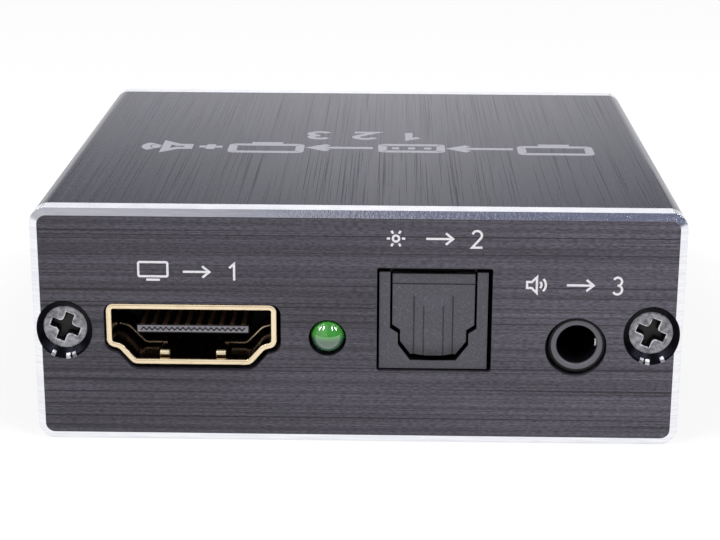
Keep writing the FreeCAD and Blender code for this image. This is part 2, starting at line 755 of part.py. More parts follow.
def build_video_socket(name, end):
    """A video socket: shell with sprung fingers and board tabs, insulator with its tongue, and contacts."""
    shell = new_body(name + "_shell")
    outline = sketch_on(shell, "XZ_Plane")
    trace(outline, *shell_outline("0"))
    pad(shell, outline, "shell_length", "+Y")
    round_shell(shell, "0")
    block = shell.Tip
    hollow = shell.newObject("PartDesign::Thickness", name + "_hollow")
    mouth = [f"Face{number}" for number, face in enumerate(block.Shape.Faces, 1) if edge_in("Y", "0")(face)]
    hollow.Base = (block, mouth)
    hollow.Reversed = True
    bind(hollow, Value="shell_wall")
    shell.Tip = hollow
    doc.recompute()
    tails = sketch_on(shell, "XY_Plane", "-shell_wall")
    tail_front = "(bay_depth + block_length + contact_thick - lead_gap)"
    tail_back = "(shell_length + lead_gap)"
    oblong(tails, "0", f"({tail_front} + {tail_back}) / 2", "tongue_width", f"{tail_back} - {tail_front}")
    pocket(shell, tails, "3 * shell_wall", "+Z")
    slots = sketch_on(shell, "XY_Plane", "-shell_wall")
    top_slots = sketch_on(shell, "XY_Plane", "shell_height - 2 * shell_wall")
    middle = "spring_front + spring_length / 2 - spring_slot / 2"
    for side in (-1, 1):
        size = ("spring_width + 2 * spring_slot", "spring_length + spring_slot")
        oblong(slots, f"{side} * spring_spread / 2", middle, *size)
        oblong(top_slots, f"{side} * spring_top_spread / 2", middle, *size)
    pocket(shell, slots, "2.5 * shell_wall", "+Z")
    pocket(shell, top_slots, "3 * shell_wall", "+Z")
    for level, way, spread in (("shell_wall", 1, "spring_spread"), ("shell_height - shell_wall", -1,
                                                                    "spring_top_spread")):
        finger = sketch_on(shell, "YZ_Plane", f"{spread} / 2")
        crest = "(spring_front + spring_rise)"
        back = "(spring_front + spring_length + shell_wall)"
        trace(finger,
              ("spring_front", f"{level} - {way} * spring_thick"),
              (crest, f"{level} + {way} * (spring_rise - spring_thick)"),
              (back, f"{level} - {way} * spring_thick"), (back, level),
              (crest, f"{level} + {way} * spring_rise"), ("spring_front", level))
        first = pad(shell, finger, "spring_width", "+X", both_ways=True)
        mirror(shell, [first], "YZ_Plane")
    tab = sketch_on(shell, "YZ_Plane", "shell_width / 2 - shell_wall")
    tab_top = "shell_slant_rise + shell_side_round + shell_wall"
    oblong(tab, "shell_tab_first", f"(lead_bottom - video_lift + {tab_top}) / 2", "shell_tab_width",
           f"{tab_top} - lead_bottom + video_lift")
    first = pad(shell, tab, "shell_wall", "+X")
    repeat(shell, first, "Y_Axis", "shell_tab_pitch", "shell_tab_count")
    other = sketch_on(shell, "YZ_Plane", "-shell_width / 2")
    oblong(other, "shell_tab_first", f"(lead_bottom - video_lift + {tab_top}) / 2", "shell_tab_width",
           f"{tab_top} - lead_bottom + video_lift")
    first = pad(shell, other, "shell_wall", "+X")
    repeat(shell, first, "Y_Axis", "shell_tab_pitch", "shell_tab_count")
    set_on(shell, end, "video_x", "video_recess", "video_z")
    for side in (-1, 1):
        for step in range(int(value("shell_tab_count"))):
            drill_board(end, f"video_x + {side} * (shell_width / 2 - shell_wall / 2)",
                        f"(video_recess + shell_tab_first + {step} * shell_tab_pitch)",
                        "shell_wall + 2 * lead_gap", "shell_tab_width + 2 * lead_gap")
    build_insulator(name, end)
    build_contacts(name, end)


def build_insulator(name, end):
    """The moulded insulator of a video socket: a block in the shell's rear and a grooved tongue."""
    body = new_body(name + "_insulator")
    outline = sketch_on(body, "XZ_Plane", "bay_depth")
    trace(outline, *shell_outline("-shell_inner"))
    pad(body, outline, "block_length", "+Y")
    round_shell(body, "-shell_inner")
    tongue = sketch_on(body, "XZ_Plane", "tongue_setback")
    oblong(tongue, "0", "tongue_level + tongue_thick / 2", "tongue_width", "tongue_thick")
    pad(body, tongue, "bay_depth - tongue_setback + block_length / 2", "+Y")
    for level, first, count in contact_rows():
        groove = sketch_on(body, "XZ_Plane", "tongue_setback + contact_setback - moulding_gap")
        side = 1 if count == "contact_count" else -1
        oblong(groove, first, f"{level} + {side} * moulding_gap / 2", "contact_width + 2 * moulding_gap",
               "contact_thick + moulding_gap")
        cut = pocket(body, groove, None, "+Y")
        repeat(body, cut, "X_Axis", "contact_pitch", count)
    set_on(body, end, "video_x", "video_recess", "video_z")


def contact_rows():
    """Each row of contacts: the height of its middle, its first contact's x and its count."""
    upper = "(tongue_level + tongue_thick - contact_thick / 2)"
    lower = "(tongue_level + contact_thick / 2)"
    return ((upper, "(-(contact_count - 1) * contact_pitch / 2)", "contact_count"),
            (lower, "(-(contact_count - 2) * contact_pitch / 2)", "contact_count - 1"))


def build_contacts(name, end):
    """The contacts of a video socket: flat strips on the tongue that turn down to feet on the board."""
    body = new_body(name + "_contacts")
    front = "(tongue_setback + contact_setback)"
    bend = "(bay_depth + block_length + contact_thick)"
    foot = "(-video_lift)"
    turned, toe, foot_top = f"{bend} + contact_thick", f"{bend} + contact_foot", f"{foot} + contact_thick"
    for level, first, count in contact_rows():
        low, high = f"{level} - contact_thick / 2", f"{level} + contact_thick / 2"
        strip = sketch_on(body, "YZ_Plane", first)
        trace(strip, (front, low), (bend, low), (bend, foot), (toe, foot), (toe, foot_top),
              (turned, foot_top), (turned, high), (front, high))
        made = pad(body, strip, "contact_width", "+X", both_ways=True)
        repeat(body, made, "X_Axis", "contact_pitch", count)
    set_on(body, end, "video_x", "video_recess", "video_z")


def mouth_outline(side_gap, drop_gap):
    """The keyed outline of the optical socket's mouth, drawn in by the gaps, above the underside."""
    right = [("mouth_floor_width / 2", "mouth_floor"), ("mouth_step_width / 2", "mouth_slant_top"),
             ("mouth_step_width / 2", "mouth_step_low"), ("mouth_width / 2", "mouth_step_high")]
    half = [(f"({u} - {side_gap})", f"({v} + {drop_gap})") for u, v in right]
    half.append((f"(mouth_width / 2 - {side_gap})", "mouth_top"))
    return half + [(f"-{u}", v) for u, v in reversed(half)]


def build_optical_housing():
    """The optical socket's moulding: keyed bay, notched roof, ferrule bore, emitter cell and board pegs."""
    body = new_body("optical_housing")
    block = sketch_on(body, "XZ_Plane", "optical_recess")
    oblong(block, "0", "optical_height / 2", "optical_width", "optical_height")
    pad(body, block, "optical_depth", "+Y")
    bay = sketch_on(body, "XZ_Plane", "optical_recess")
    trace(bay, *mouth_outline("0", "0"))
    pocket(body, bay, "optical_bay", "+Y")
    notch = sketch_on(body, "XY_Plane", "optical_height")
    oblong(notch, "0", "optical_recess + mouth_notch / 2", "mouth_width", "mouth_notch")
    pocket(body, notch, "2 * mouth_roof", "-Z")
    bore = sketch_on(body, "XZ_Plane", "optical_recess")
    ring(bore, "0", "optical_axis", "ferrule_bore / 2")
    pocket(body, bore, None, "+Y")
    cell = sketch_on(body, "XZ_Plane", "optical_recess + optical_depth")
    height = "optical_axis + emitter_height / 2 + emitter_play"
    oblong(cell, "0", f"({height}) / 2", "emitter_width + 2 * emitter_play", height)
    pocket(body, cell, "emitter_thick + emitter_play", "-Y")
    hinge = sketch_on(body, "YZ_Plane")
    ring(hinge, "axis_y", "axis_z", "hinge_pin / 2 + pin_play")
    pocket(body, hinge, "optical_width", "+X", both_ways=True)
    pegs = sketch_on(body, "XY_Plane")
    peg_y = "(optical_recess + optical_peg_depth)"
    for side in (-1, 1):
        peg_x = f"{side} * optical_peg_spread / 2"
        ring(pegs, peg_x, peg_y, "optical_peg / 2")
        drill_board("front", f"optical_x + {peg_x}", peg_y, "optical_peg + 2 * lead_gap", "round")
    pad(body, pegs, "board_thick + lead_below", "-Z")
    set_on(body, "front", "optical_x", "0", "board_top")


def build_shutter():
    """The sprung shutter that fills the mouth: keyed flap with a raised rib and moulded lines, and two
    knuckles on its pin."""
    body = new_body("optical_shutter")
    outline = mouth_outline("shutter_side_gap", "shutter_drop_gap")
    top = "axis_z + shutter_knuckle + shutter_lip"
    outline = [(u, top if v == "mouth_top" else v) for u, v in outline]
    flap = sketch_on(body, "XZ_Plane", "shutter_y")
    trace(flap, *outline)
    pad(body, flap, "shutter_thick", "+Y")
    foot = "(mouth_floor + shutter_foot_gap)"
    trim = sketch_on(body, "XZ_Plane", "shutter_y")
    oblong(trim, "0", f"{foot} / 2", "mouth_width", foot)
    pocket(body, trim, "shutter_thick", "+Y")
    knuckle = sketch_on(body, "YZ_Plane")
    ring(knuckle, "axis_y", "axis_z", "shutter_knuckle")
    pad(body, knuckle, "mouth_width - 2 * shutter_side_gap", "+X", both_ways=True)
    gap = sketch_on(body, "YZ_Plane")
    front, back = "shutter_y + shutter_skin", "(axis_y + shutter_knuckle + shutter_skin)"
    low = "(axis_z - shutter_knuckle - torsion_wire)"
    high = "(axis_z + shutter_knuckle + shutter_skin)"
    trace(gap, (front, low), (back, low), (back, high), (front, high))
    span = "mouth_width - 2 * shutter_side_gap"
    pocket(body, gap, f"{span} - 2 * shutter_knuckle_width", "+X", both_ways=True)
    bore = sketch_on(body, "YZ_Plane")
    ring(bore, "axis_y", "axis_z", "hinge_pin / 2 + hinge_play")
    pocket(body, bore, "mouth_width", "+X", both_ways=True)
    base = sketch_on(body, "XZ_Plane", "shutter_y")
    crest = sketch_on(body, "XZ_Plane", "shutter_y - rib_raise")
    trace(base, ("-rib_width / 2", foot), ("rib_width / 2", foot),
          ("rib_width / 2", f"{foot} + rib_height"), ("-rib_width / 2", f"{foot} + rib_height"))
    trace(crest, ("-rib_crest_width / 2", foot), ("rib_crest_width / 2", foot),
          ("rib_crest_width / 2", f"{foot} + rib_height - rib_bevel"),
          ("-rib_crest_width / 2", f"{foot} + rib_height - rib_bevel"))
    rib = body.newObject("PartDesign::AdditiveLoft", "optical_shutter_rib")
    rib.Profile = base
    rib.Sections = [crest]
    rib.Ruled = True
    body.Tip = rib
    doc.recompute()
    lines = sketch_on(body, "XZ_Plane", "shutter_y")
    oblong(lines, "0", "shutter_groove", "mouth_width", "line_width")
    crest_lines = sketch_on(body, "XZ_Plane", "shutter_y - rib_raise")
    for side in (-1, 1):
        oblong(lines, f"{side} * (rib_width + line_width) / 2", f"{foot} + rib_height / 2", "line_width",
               "rib_height")
        oblong(crest_lines, f"{side} * (rib_crest_width + line_width) / 2",
               f"{foot} + (rib_height - rib_bevel) / 2", "line_width", "rib_height - rib_bevel")
    pocket(body, lines, "line_depth", "+Y")
    pocket(body, crest_lines, "line_depth", "+Y")
    set_on(body, "front", "optical_x", "0", "board_top")


def build_shutter_pin():
    """The pin across the optical socket that the shutter turns on."""
    body = new_body("optical_shutter_pin")
    sketch = sketch_on(body, "YZ_Plane")
    ring(sketch, "axis_y", "axis_z", "hinge_pin / 2")
    pad(body, sketch, "optical_width - 2 * pin_play", "+X", both_ways=True)
    set_on(body, "front", "optical_x", "0", "board_top")


def build_shutter_spring():
    """The torsion spring round the pin: one leg up behind the flap, close turns, and a stub to the roof.
    The wire is six-sided, and each quarter turn is an arc through three points of the helix."""
    wire = value("torsion_wire / 2")
    radius = value("torsion_radius")
    turns = int(value("torsion_turns"))
    pitch = value("torsion_wire + torsion_turn_gap")

    def spot(quarters):
        angle = quarters * math.pi / 2
        return Vector(radius * math.cos(angle), radius * math.sin(angle), pitch * quarters / 4)

    bearing = Vector(value("shutter_thick - shutter_axis_back + torsion_wire"), -value("torsion_leg"), 0)
    end = spot(4 * turns)
    edges = [Part.LineSegment(bearing, spot(0))]
    edges += [Part.Arc(spot(step), spot(step + 0.5), spot(step + 1)) for step in range(4 * turns)]
    edges.append(Part.LineSegment(end, end + Vector(0, value("torsion_stub"), 0)))
    path = Part.Wire([edge.toShape() for edge in edges])
    along = (spot(0) - bearing).normalize()
    up, across = Vector(0, 0, wire), along.cross(Vector(0, 0, wire))
    profile = Part.makePolygon([bearing + up * math.cos(side) + across * math.sin(side)
                                for side in [math.pi / 3 * corner for corner in range(7)]])
    feature = doc.addObject("Part::Feature", "optical_shutter_spring")
    feature.Shape = Part.Solid(path.makePipeShell([profile], True))
    along_pin = Rotation(Vector(1, 0, 0), 90) * Rotation(Vector(0, 1, 0), 90)
    middle = Vector(value("optical_x"), value("front_face + axis_y"), value("board_top + axis_z"))
    feature.Placement = Placement(middle, along_pin) * Placement(Vector(0, 0, -end.z / 2), Rotation())
    NODES.append(feature)


def build_emitter():
    """The light source behind the ferrule bore, with its lens, and its three leads."""
    body = new_body("optical_emitter")
    back = "(optical_recess + optical_depth)"
    block = sketch_on(body, "XZ_Plane", back)
    oblong(block, "0", "optical_axis", "emitter_width", "emitter_height")
    pad(body, block, "emitter_thick", "-Y")
    lens = sketch_on(body, "XZ_Plane", f"{back} - emitter_thick")
    ring(lens, "0", "optical_axis", "emitter_lens / 2")
    pad(body, lens, "emitter_lens_length", "-Y")
    bevel(body, edge_in("Y", f"{back} - emitter_thick - emitter_lens_length"), "emitter_lens_bevel")
    set_on(body, "front", "optical_x", "0", "board_top")
    leads = new_body("optical_leads")
    first = sketch_on(leads, "XZ_Plane", f"{back} - emitter_thick / 2 - lead_thick / 2")
    oblong(first, "-optical_lead_pitch", "(optical_axis - emitter_height / 2 + lead_bottom) / 2",
           "lead_thick", "optical_axis - emitter_height / 2 - lead_bottom")
    made = pad(leads, first, "lead_thick", "+Y")
    repeat(leads, made, "X_Axis", "optical_lead_pitch", "3")
    set_on(leads, "front", "optical_x", "0", "board_top")
    for step in (-1, 0, 1):
        drill_board("front", f"optical_x + {step} * optical_lead_pitch", f"({back} - emitter_thick / 2)",
                    "lead_thick + 2 * lead_gap", "lead_thick + 2 * lead_gap")


def build_audio_jack():
    """The audio jack: moulded body with its collar and bore, and four blade contacts."""
    body = new_body("audio_jack_body")
    axis = "jack_height / 2"
    collar = sketch_on(body, "XZ_Plane", "jack_recess")
    ring(collar, "0", axis, "jack_collar / 2")
    pad(body, collar, "jack_collar_length", "+Y")
    block = sketch_on(body, "XZ_Plane", "jack_recess + jack_collar_length")
    oblong(block, "0", axis, "jack_width", "jack_height")
    pad(body, block, "jack_depth", "+Y")
    plain = sketch_on(body, "XZ_Plane", "jack_recess")
    ring(plain, "0", axis, "jack_bore / 2")
    pocket(body, plain, "jack_bore_depth", "+Y")
    relief = sketch_on(body, "XZ_Plane", "jack_recess + jack_bore_plain")
    ring(relief, "0", axis, "jack_bore / 2 + jack_relief")
    pocket(body, relief, "jack_bore_depth - jack_bore_plain", "+Y")
    mouth, inner = edge_in("Y", "jack_recess"), value("jack_bore") / 2 + TINY
    bevel(body, lambda edge: mouth(edge) and edge.Curve.Radius < inner, "jack_lead_in")
    blades = new_body("audio_jack_contacts")
    blade_sketch = sketch_on(blades, "XY_Plane", "lead_bottom")
    slots = sketch_on(body, "XY_Plane")
    for number in range(4):
        side = 1 if number % 2 else -1
        x = f"{side} * (jack_bore / 2 + jack_relief + blade_thick / 2)"
        y = f"(jack_recess + jack_collar_length + blade_first + {number} * blade_pitch / 2)"
        oblong(blade_sketch, x, y, "blade_thick", "blade_width")
        oblong(slots, x, y, "blade_thick + 2 * blade_slot_gap", "blade_width + 2 * blade_slot_gap")
        drill_board("front", f"audio_x + {x}", y,
                    "blade_thick + 2 * lead_gap", "blade_width + 2 * lead_gap")
    pad(blades, blade_sketch, f"{axis} + blade_top - lead_bottom", "+Z")
    pocket(body, slots, f"{axis} + blade_top + blade_slot_gap", "+Z")
    set_on(body, "front", "audio_x", "0", "board_top")
    set_on(blades, "front", "audio_x", "0", "board_top")


def build_lamp():
    """The status lamp: a domed lens with a flange behind the plate, and two leads bent to the board."""
    lens = new_body("status_lamp_lens")
    profile = sketch_on(lens, "YZ_Plane")
    radius = "lamp_diameter / 2"
    tip = "(-lamp_proud)"
    end = f"({tip} + lamp_length)"
    trace(profile, (tip, "0", f"-({radius})"), (f"{tip} + {radius}", radius),
          (f"{end} - lamp_flange_thick", radius), (f"{end} - lamp_flange_thick", "lamp_flange / 2"),
          (end, "lamp_flange / 2"), (end, "0"))
    spin(lens, "Revolution", profile, "H_Axis")
    set_on(lens, "front", "lamp_x", "0", "lamp_z")
    leads = new_body("status_lamp_leads")
    back = f"({end} + lamp_lead_back)"
    low = "(lead_bottom - lamp_rise)"
    half = "lead_thick / 2"
    lead = sketch_on(leads, "YZ_Plane", "-lamp_lead_pitch / 2")
    trace(lead, (end, f"-{half}"), (f"{back} - {half}", f"-{half}"), (f"{back} - {half}", low),
          (f"{back} + {half}", low), (f"{back} + {half}", half), (end, half))
    made = pad(leads, lead, "lead_thick", "+X", both_ways=True)
    repeat(leads, made, "X_Axis", "lamp_lead_pitch", "2")
    set_on(leads, "front", "lamp_x", "0", "lamp_z")
    for side in (-1, 1):
        drill_board("front", f"lamp_x + {side} * lamp_lead_pitch / 2", back,
                    "lead_thick + 2 * lead_gap", "lead_thick + 2 * lead_gap")


def build_power_jack():
    """The power inlet: moulded body with a round collar, centre pin and sprung leaf."""
    body = new_body("power_jack_body")
    inner = "plate_thick + switch_play"
    collar = sketch_on(body, "XZ_Plane", "power_recess")
    ring(collar, "0", "power_rise", "power_collar / 2")
    pad(body, collar, f"{inner} - power_recess + power_tab_thick", "+Y")
    block = sketch_on(body, "XZ_Plane", inner)
    oblong(block, "0", "power_height / 2", "power_width", "power_height")
    pad(body, block, "power_depth", "+Y")
    bore = sketch_on(body, "XZ_Plane", "power_recess")
    ring(bore, "0", "power_rise", "power_bore / 2")
    pocket(body, bore, "power_bore_depth", "+Y")
    pin_hole = sketch_on(body, "XZ_Plane", "power_recess")
    ring(pin_hole, "0", "power_rise", "power_pin / 2 + moulding_gap")
    pocket(body, pin_hole, None, "+Y")
    leaf_end = "(power_recess + power_bore_depth)"
    leaf_level = "(power_rise - power_bore / 2 - power_tab_thick)"
    slot = sketch_on(body, "XY_Plane")
    oblong(slot, "0", f"{leaf_end} - power_leaf_length / 2", "power_tab_width + 2 * moulding_gap",
           "power_leaf_length + 2 * moulding_gap")
    pocket(body, slot, "power_rise", "+Z")
    set_on(body, "rear", "power_x", "0", "board_top")

    pin = new_body("power_jack_pin")
    shaft = sketch_on(pin, "XZ_Plane", "power_recess + power_pin_setback")
    ring(shaft, "0", "power_rise", "power_pin / 2")
    back = f"({inner} + power_depth)"
    pad(pin, shaft, f"{back} - power_recess - power_pin_setback", "+Y")
    bevel(pin, edge_in("Y", "power_recess + power_pin_setback"), "power_pin_bevel")
    tab = sketch_on(pin, "XZ_Plane", back)
    oblong(tab, "0", "(power_rise + power_pin + lead_bottom) / 2", "power_tab_width",
           "power_rise + power_pin - lead_bottom")
    pad(pin, tab, "power_tab_thick", "+Y")
    set_on(pin, "rear", "power_x", "0", "board_top")
    drill_board("rear", "power_x", f"({back} + power_tab_thick / 2)", "power_tab_width + 2 * lead_gap",
                "power_tab_thick + 2 * lead_gap")

    leaf = new_body("power_jack_leaf")
    strip = sketch_on(leaf, "YZ_Plane")
    front, leaf_top = f"({leaf_end} - power_leaf_length)", f"{leaf_level} + power_tab_thick"
    trace(strip, (front, f"{leaf_level} - power_tab_thick"), (f"{leaf_end} - power_tab_thick", leaf_level),
          (f"{leaf_end} - power_tab_thick", "lead_bottom"), (leaf_end, "lead_bottom"),
          (leaf_end, leaf_top), (f"{leaf_end} - power_leaf_length / 2", leaf_top), (front, leaf_level))
    pad(leaf, strip, "power_tab_width", "+X", both_ways=True)
    set_on(leaf, "rear", "power_x", "0", "board_top")
    drill_board("rear", "power_x", f"({leaf_end} - power_tab_thick / 2)", "power_tab_width + 2 * lead_gap",
                "power_tab_thick + 2 * lead_gap")


def build_switch():
    """The three-way slide switch: steel frame, base with pins, knob with its carriage, contact bridge."""
    middle = "switch_height / 2"
    depth = "(base_y - switch_play + switch_base_depth - switch_front)"
    room = "switch_wall + 2 * switch_play"
    frame = new_body("mode_switch_frame")
    block = sketch_on(frame, "XZ_Plane", "switch_front")
    oblong(block, "0", middle, "switch_width", "switch_height")
    solid = pad(frame, block, depth, "+Y")
    open_faces = [f"Face{number}" for number, face in enumerate(solid.Shape.Faces, 1)
                  if edge_in("Y", f"switch_front + {depth}")(face) or edge_in("Z", "0")(face)]
    hollow = frame.newObject("PartDesign::Thickness", "mode_switch_hollow")
    hollow.Base = (solid, open_faces)
    hollow.Reversed = True
    bind(hollow, Value="switch_wall")
    frame.Tip = hollow
    doc.recompute()
    window = sketch_on(frame, "XZ_Plane", "switch_front")
    oblong(window, "0", middle, "knob_width + 2 * (switch_travel + switch_play)",
           "knob_height + 2 * switch_play")
    pocket(frame, window, "2 * switch_wall", "+Y")
    legs = sketch_on(frame, "XY_Plane")
    leg_y = f"(switch_front + {depth} / 2)"
    for side in (-1, 1):
        x = f"{side} * (switch_width / 2 - switch_wall / 2)"
        oblong(legs, x, leg_y, "switch_wall", "switch_leg_width")
        drill_board("rear", f"mode_x + {x}", leg_y,
                    "switch_wall + 2 * lead_gap", "switch_leg_width + 2 * lead_gap")
    pad(frame, legs, "board_thick + lead_below", "-Z")
    set_on(frame, "rear", "mode_x", "0", "board_top")

    base = new_body("mode_switch_base")
    block = sketch_on(base, "XZ_Plane", "base_y")
    height = "(switch_height - switch_wall - switch_play)"
    oblong(block, "0", f"{height} / 2", "switch_width - 2 * (switch_wall + switch_play)", height)
    pad(base, block, "switch_base_depth - switch_play", "+Y")
    set_on(base, "rear", "mode_x", "0", "board_top")

    knob = new_body("mode_switch_knob")
    carriage = sketch_on(knob, "XZ_Plane", "carriage_y")
    oblong(carriage, "0", middle, "switch_carriage_width", f"switch_height - 2 * ({room})")
    pad(knob, carriage, "switch_carriage_thick", "+Y")
    grip = sketch_on(knob, "XZ_Plane", "-knob_proud")
    oblong(grip, "0", middle, "knob_width", "knob_height")
    pad(knob, grip, "knob_proud + carriage_y", "+Y")
    set_on(knob, "rear", "mode_x", "0", "board_top")

    bridge = new_body("mode_switch_bridge")
    leaf = sketch_on(bridge, "XZ_Plane", "bridge_y")
    oblong(leaf, "0", middle, "switch_carriage_width - 2 * switch_wall", "switch_height / 2")
    pad(bridge, leaf, "switch_bridge_thick", "+Y")
    set_on(bridge, "rear", "mode_x", "0", "board_top")

    pins = new_body("mode_switch_pins")
    for side in (-1, 1):
        row_y = f"(base_y + (switch_base_depth - switch_play) / 2 + {side} * switch_pin_rows / 2)"
        first = sketch_on(pins, "XY_Plane")
        first_x = "(-(switch_pin_count - 1) / 2 * switch_pin_pitch)"
        oblong(first, first_x, row_y, "lead_thick", "lead_thick")
        made = pad(pins, first, "board_thick + lead_below", "-Z")
        repeat(pins, made, "X_Axis", "switch_pin_pitch", "switch_pin_count")
        for step in range(int(value("switch_pin_count"))):
            drill_board("rear", f"mode_x + {first_x} + {step} * switch_pin_pitch", row_y,
                        "lead_thick + 2 * lead_gap", "lead_thick + 2 * lead_gap")
    set_on(pins, "rear", "mode_x", "0", "board_top")


def build_board():
    """The circuit board, with a hole for every lead, tab and peg that the sockets put through it."""
    body = new_body("circuit_board")
    outline = sketch_on(body, "XY_Plane", "board_height")
    oblong(outline, "0", "0", "case_width - 2 * (sleeve_wall + board_side_gap)",
           "sleeve_length - 2 * board_end_gap")
    pad(body, outline, "board_thick", "+Z")
    holes = sketch_on(body, "XY_Plane", "board_top")
    for x, y, width, depth in HOLES:
        if depth == "round":
            ring(holes, x, y, f"({width}) / 2")
        else:
            oblong(holes, x, y, width, depth)
    pocket(body, holes, None, "-Z")


def build_chip(name, x, y, length, width, height, pitch, per_side, all_sides=False):
    """A chip's moulded body, and its row of gull-wing leads on two or on all four sides."""
    body = new_body(name)
    block = sketch_on(body, "XY_Plane", "board_top + chip_standoff")
    oblong(block, "0", "0", length, width)
    pad(body, block, height, "+Z")
    top = edge_in("Z", f"board_top + chip_standoff + {height}")
    bevel(body, top, "chip_bevel")
    bind(body, **{"Placement.Base.x": x, "Placement.Base.y": y})
    thick, half = value("chip_lead_thick"), value("chip_lead_width / 2")
    reach, waist = value("chip_lead_reach"), value(f"chip_standoff + {height} / 2")
    count = int(value(per_side))
    sides = ((0, value(width) / 2), (180, value(width) / 2))
    if all_sides:
        sides += ((90, value(length) / 2), (270, value(length) / 2))
    leads = []
    for turn, edge in sides:
        for number in range(count):
            across = (number - (count - 1) / 2) * value(pitch)
            knee, toe = edge + reach / 2, edge + reach
            points = [(edge, waist), (knee, waist), (knee, thick), (toe, thick), (toe, 0),
                      (knee - thick, 0), (knee - thick, waist - thick), (edge, waist - thick)]
            wire = Part.makePolygon([Vector(across - half, out, up) for out, up in points + points[:1]])
            lead = Part.Face(wire).extrude(Vector(2 * half, 0, 0))
            lead.rotate(Vector(), Vector(0, 0, 1), turn)
            leads.append(lead)
    feature = doc.addObject("Part::Feature", name + "_leads")
    feature.Shape = Part.makeCompound(leads)
    feature.Placement = Placement(Vector(value(x), value(y), value("board_top")), Rotation())
    NODES.append(feature)


def build_small_parts():
    """The other parts on the board: crystal, capacitor cans, inductor and ceramic capacitors."""
    crystal = new_body("crystal_can")
    outline = sketch_on(crystal, "XY_Plane", "board_top")
    oblong(outline, "0", "0", "crystal_length", "crystal_width")
    pad(crystal, outline, "crystal_height", "+Z")
    corners = [(f"{u} * crystal_length / 2", f"{v} * crystal_width / 2") for u in (-1, 1) for v in (-1, 1)]
    round_off(crystal, edge_along("Z", corners), "crystal_round")
    bevel(crystal, edge_in("Z", "board_top + crystal_height"), "crystal_bevel")
    bind(crystal, **{"Placement.Base.x": "crystal_x", "Placement.Base.y": "crystal_y"})

    cans = new_body("capacitor_cans")
    seat = sketch_on(cans, "XY_Plane", "board_top")
    oblong(seat, "0", "0", "can_base", "can_base")
    base = pad(cans, seat, "can_base_thick", "+Z")
    round_can = sketch_on(cans, "XY_Plane", "board_top + can_base_thick")
    ring(round_can, "0", "0", "can_diameter / 2")
    can = pad(cans, round_can, "can_height", "+Z")
    row = cans.newObject("PartDesign::LinearPattern", "capacitor_cans_row")
    row.Originals = [base, can]
    row.Direction = (datum(cans, "Y_Axis"), [""])
    row.Mode = "Spacing"
    row.Reversed = True
    bind(row, Offset="can_pitch", Occurrences="2")
    cans.Tip = row
    doc.recompute()
    bind(cans, **{"Placement.Base.x": "can_x", "Placement.Base.y": "can_y"})

    inductor = new_body("power_inductor")
    outline = sketch_on(inductor, "XY_Plane", "board_top")
    oblong(outline, "0", "0", "inductor_side", "inductor_side")
    pad(inductor, outline, "inductor_height", "+Z")
    side = "inductor_side / 2"
    corners = [(f"{u} * {side}", f"{v} * {side}") for u in (-1, 1) for v in (-1, 1)]
    round_off(inductor, edge_along("Z", corners), "inductor_round")
    bind(inductor, **{"Placement.Base.x": "inductor_x", "Placement.Base.y": "inductor_y"})

    ceramics = new_body("ceramic_capacitors")
    for side in (-1, 1):
        first = sketch_on(ceramics, "XY_Plane", "board_top")
        oblong(first, "video_chip_x - (ceramic_count - 1) * ceramic_pitch / 2",
               f"video_chip_y + {side} * (video_chip_side / 2 + ceramic_row_gap)",
               "ceramic_length", "ceramic_width")
        made = pad(ceramics, first, "ceramic_height", "+Z")
        repeat(ceramics, made, "X_Axis", "ceramic_pitch", "ceramic_count")


def check_and_export():
    """Stop on any failed feature or bad shape, and then write each node's solids to its own file."""
    doc.recompute()
    failed = [item.Name for item in doc.Objects if {"Invalid", "Error"} & set(item.State)]
    if failed:
        raise ValueError(f"failed features: {failed}")
    for node in NODES:
        if node.Shape.isNull() or not node.Shape.isValid() or not node.Shape.Solids:
            raise ValueError(f"{node.Label} has no valid solid")
    os.makedirs("parts", exist_ok=True)
    for node in NODES:
        node.Shape.exportStep(f"parts/{node.Label}.step")
        box = node.Shape.BoundBox
        print(f"{node.Label:26s} {len(node.Shape.Solids):3d} solids {node.Shape.Volume:10.2f} mm3 "
              f"x {box.XMin:.2f} {box.XMax:.2f} y {box.YMin:.2f} {box.YMax:.2f} "
              f"z {box.ZMin:.2f} {box.ZMax:.2f}")


NODES = []
HOLES = []
doc = FreeCAD.newDocument("audio_extractor")
sheet = make_sheets()
build_sleeve()
build_plate("front_plate", "front", cut_front)
build_plate("rear_plate", "rear", cut_rear)
build_screws("front_plate_screws", "front")
build_screws("rear_plate_screws", "rear")
build_video_socket("video_out", "front")
build_video_socket("video_in", "rear")
build_optical_housing()
build_shutter()
build_shutter_pin()
build_shutter_spring()
build_emitter()
build_audio_jack()
build_lamp()
build_power_jack()
build_switch()
build_board()
build_chip("video_chip", "video_chip_x", "video_chip_y", "video_chip_side", "video_chip_side",
           "video_chip_height", "video_chip_pitch", "video_chip_side_leads", all_sides=True)
build_chip("audio_chip", "audio_chip_x", "audio_chip_y", "audio_chip_length", "small_chip_width",
           "small_chip_height", "small_chip_pitch", "audio_chip_side_leads")
build_chip("memory_chip", "memory_chip_x", "memory_chip_y", "memory_chip_length", "small_chip_width",
           "small_chip_height", "small_chip_pitch", "memory_chip_side_leads")
build_chip("voltage_regulator", "regulator_x", "regulator_y", "regulator_length", "regulator_width",
           "regulator_height", "regulator_pitch", "regulator_side_leads")
build_small_parts()
check_and_export()
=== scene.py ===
"""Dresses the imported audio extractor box: a finish on every piece, the printed marks, studio and camera.

All lengths are in metres and in the part's own frame: +Z up, the output face towards -Y, and the origin
at the centre of the underside.
"""
import json
import logging
import math
from dataclasses import dataclass
from enum import Enum
from typing import Any, Callable, Sequence

import bmesh
import bpy
import numpy as np
from mathutils import Matrix, Vector

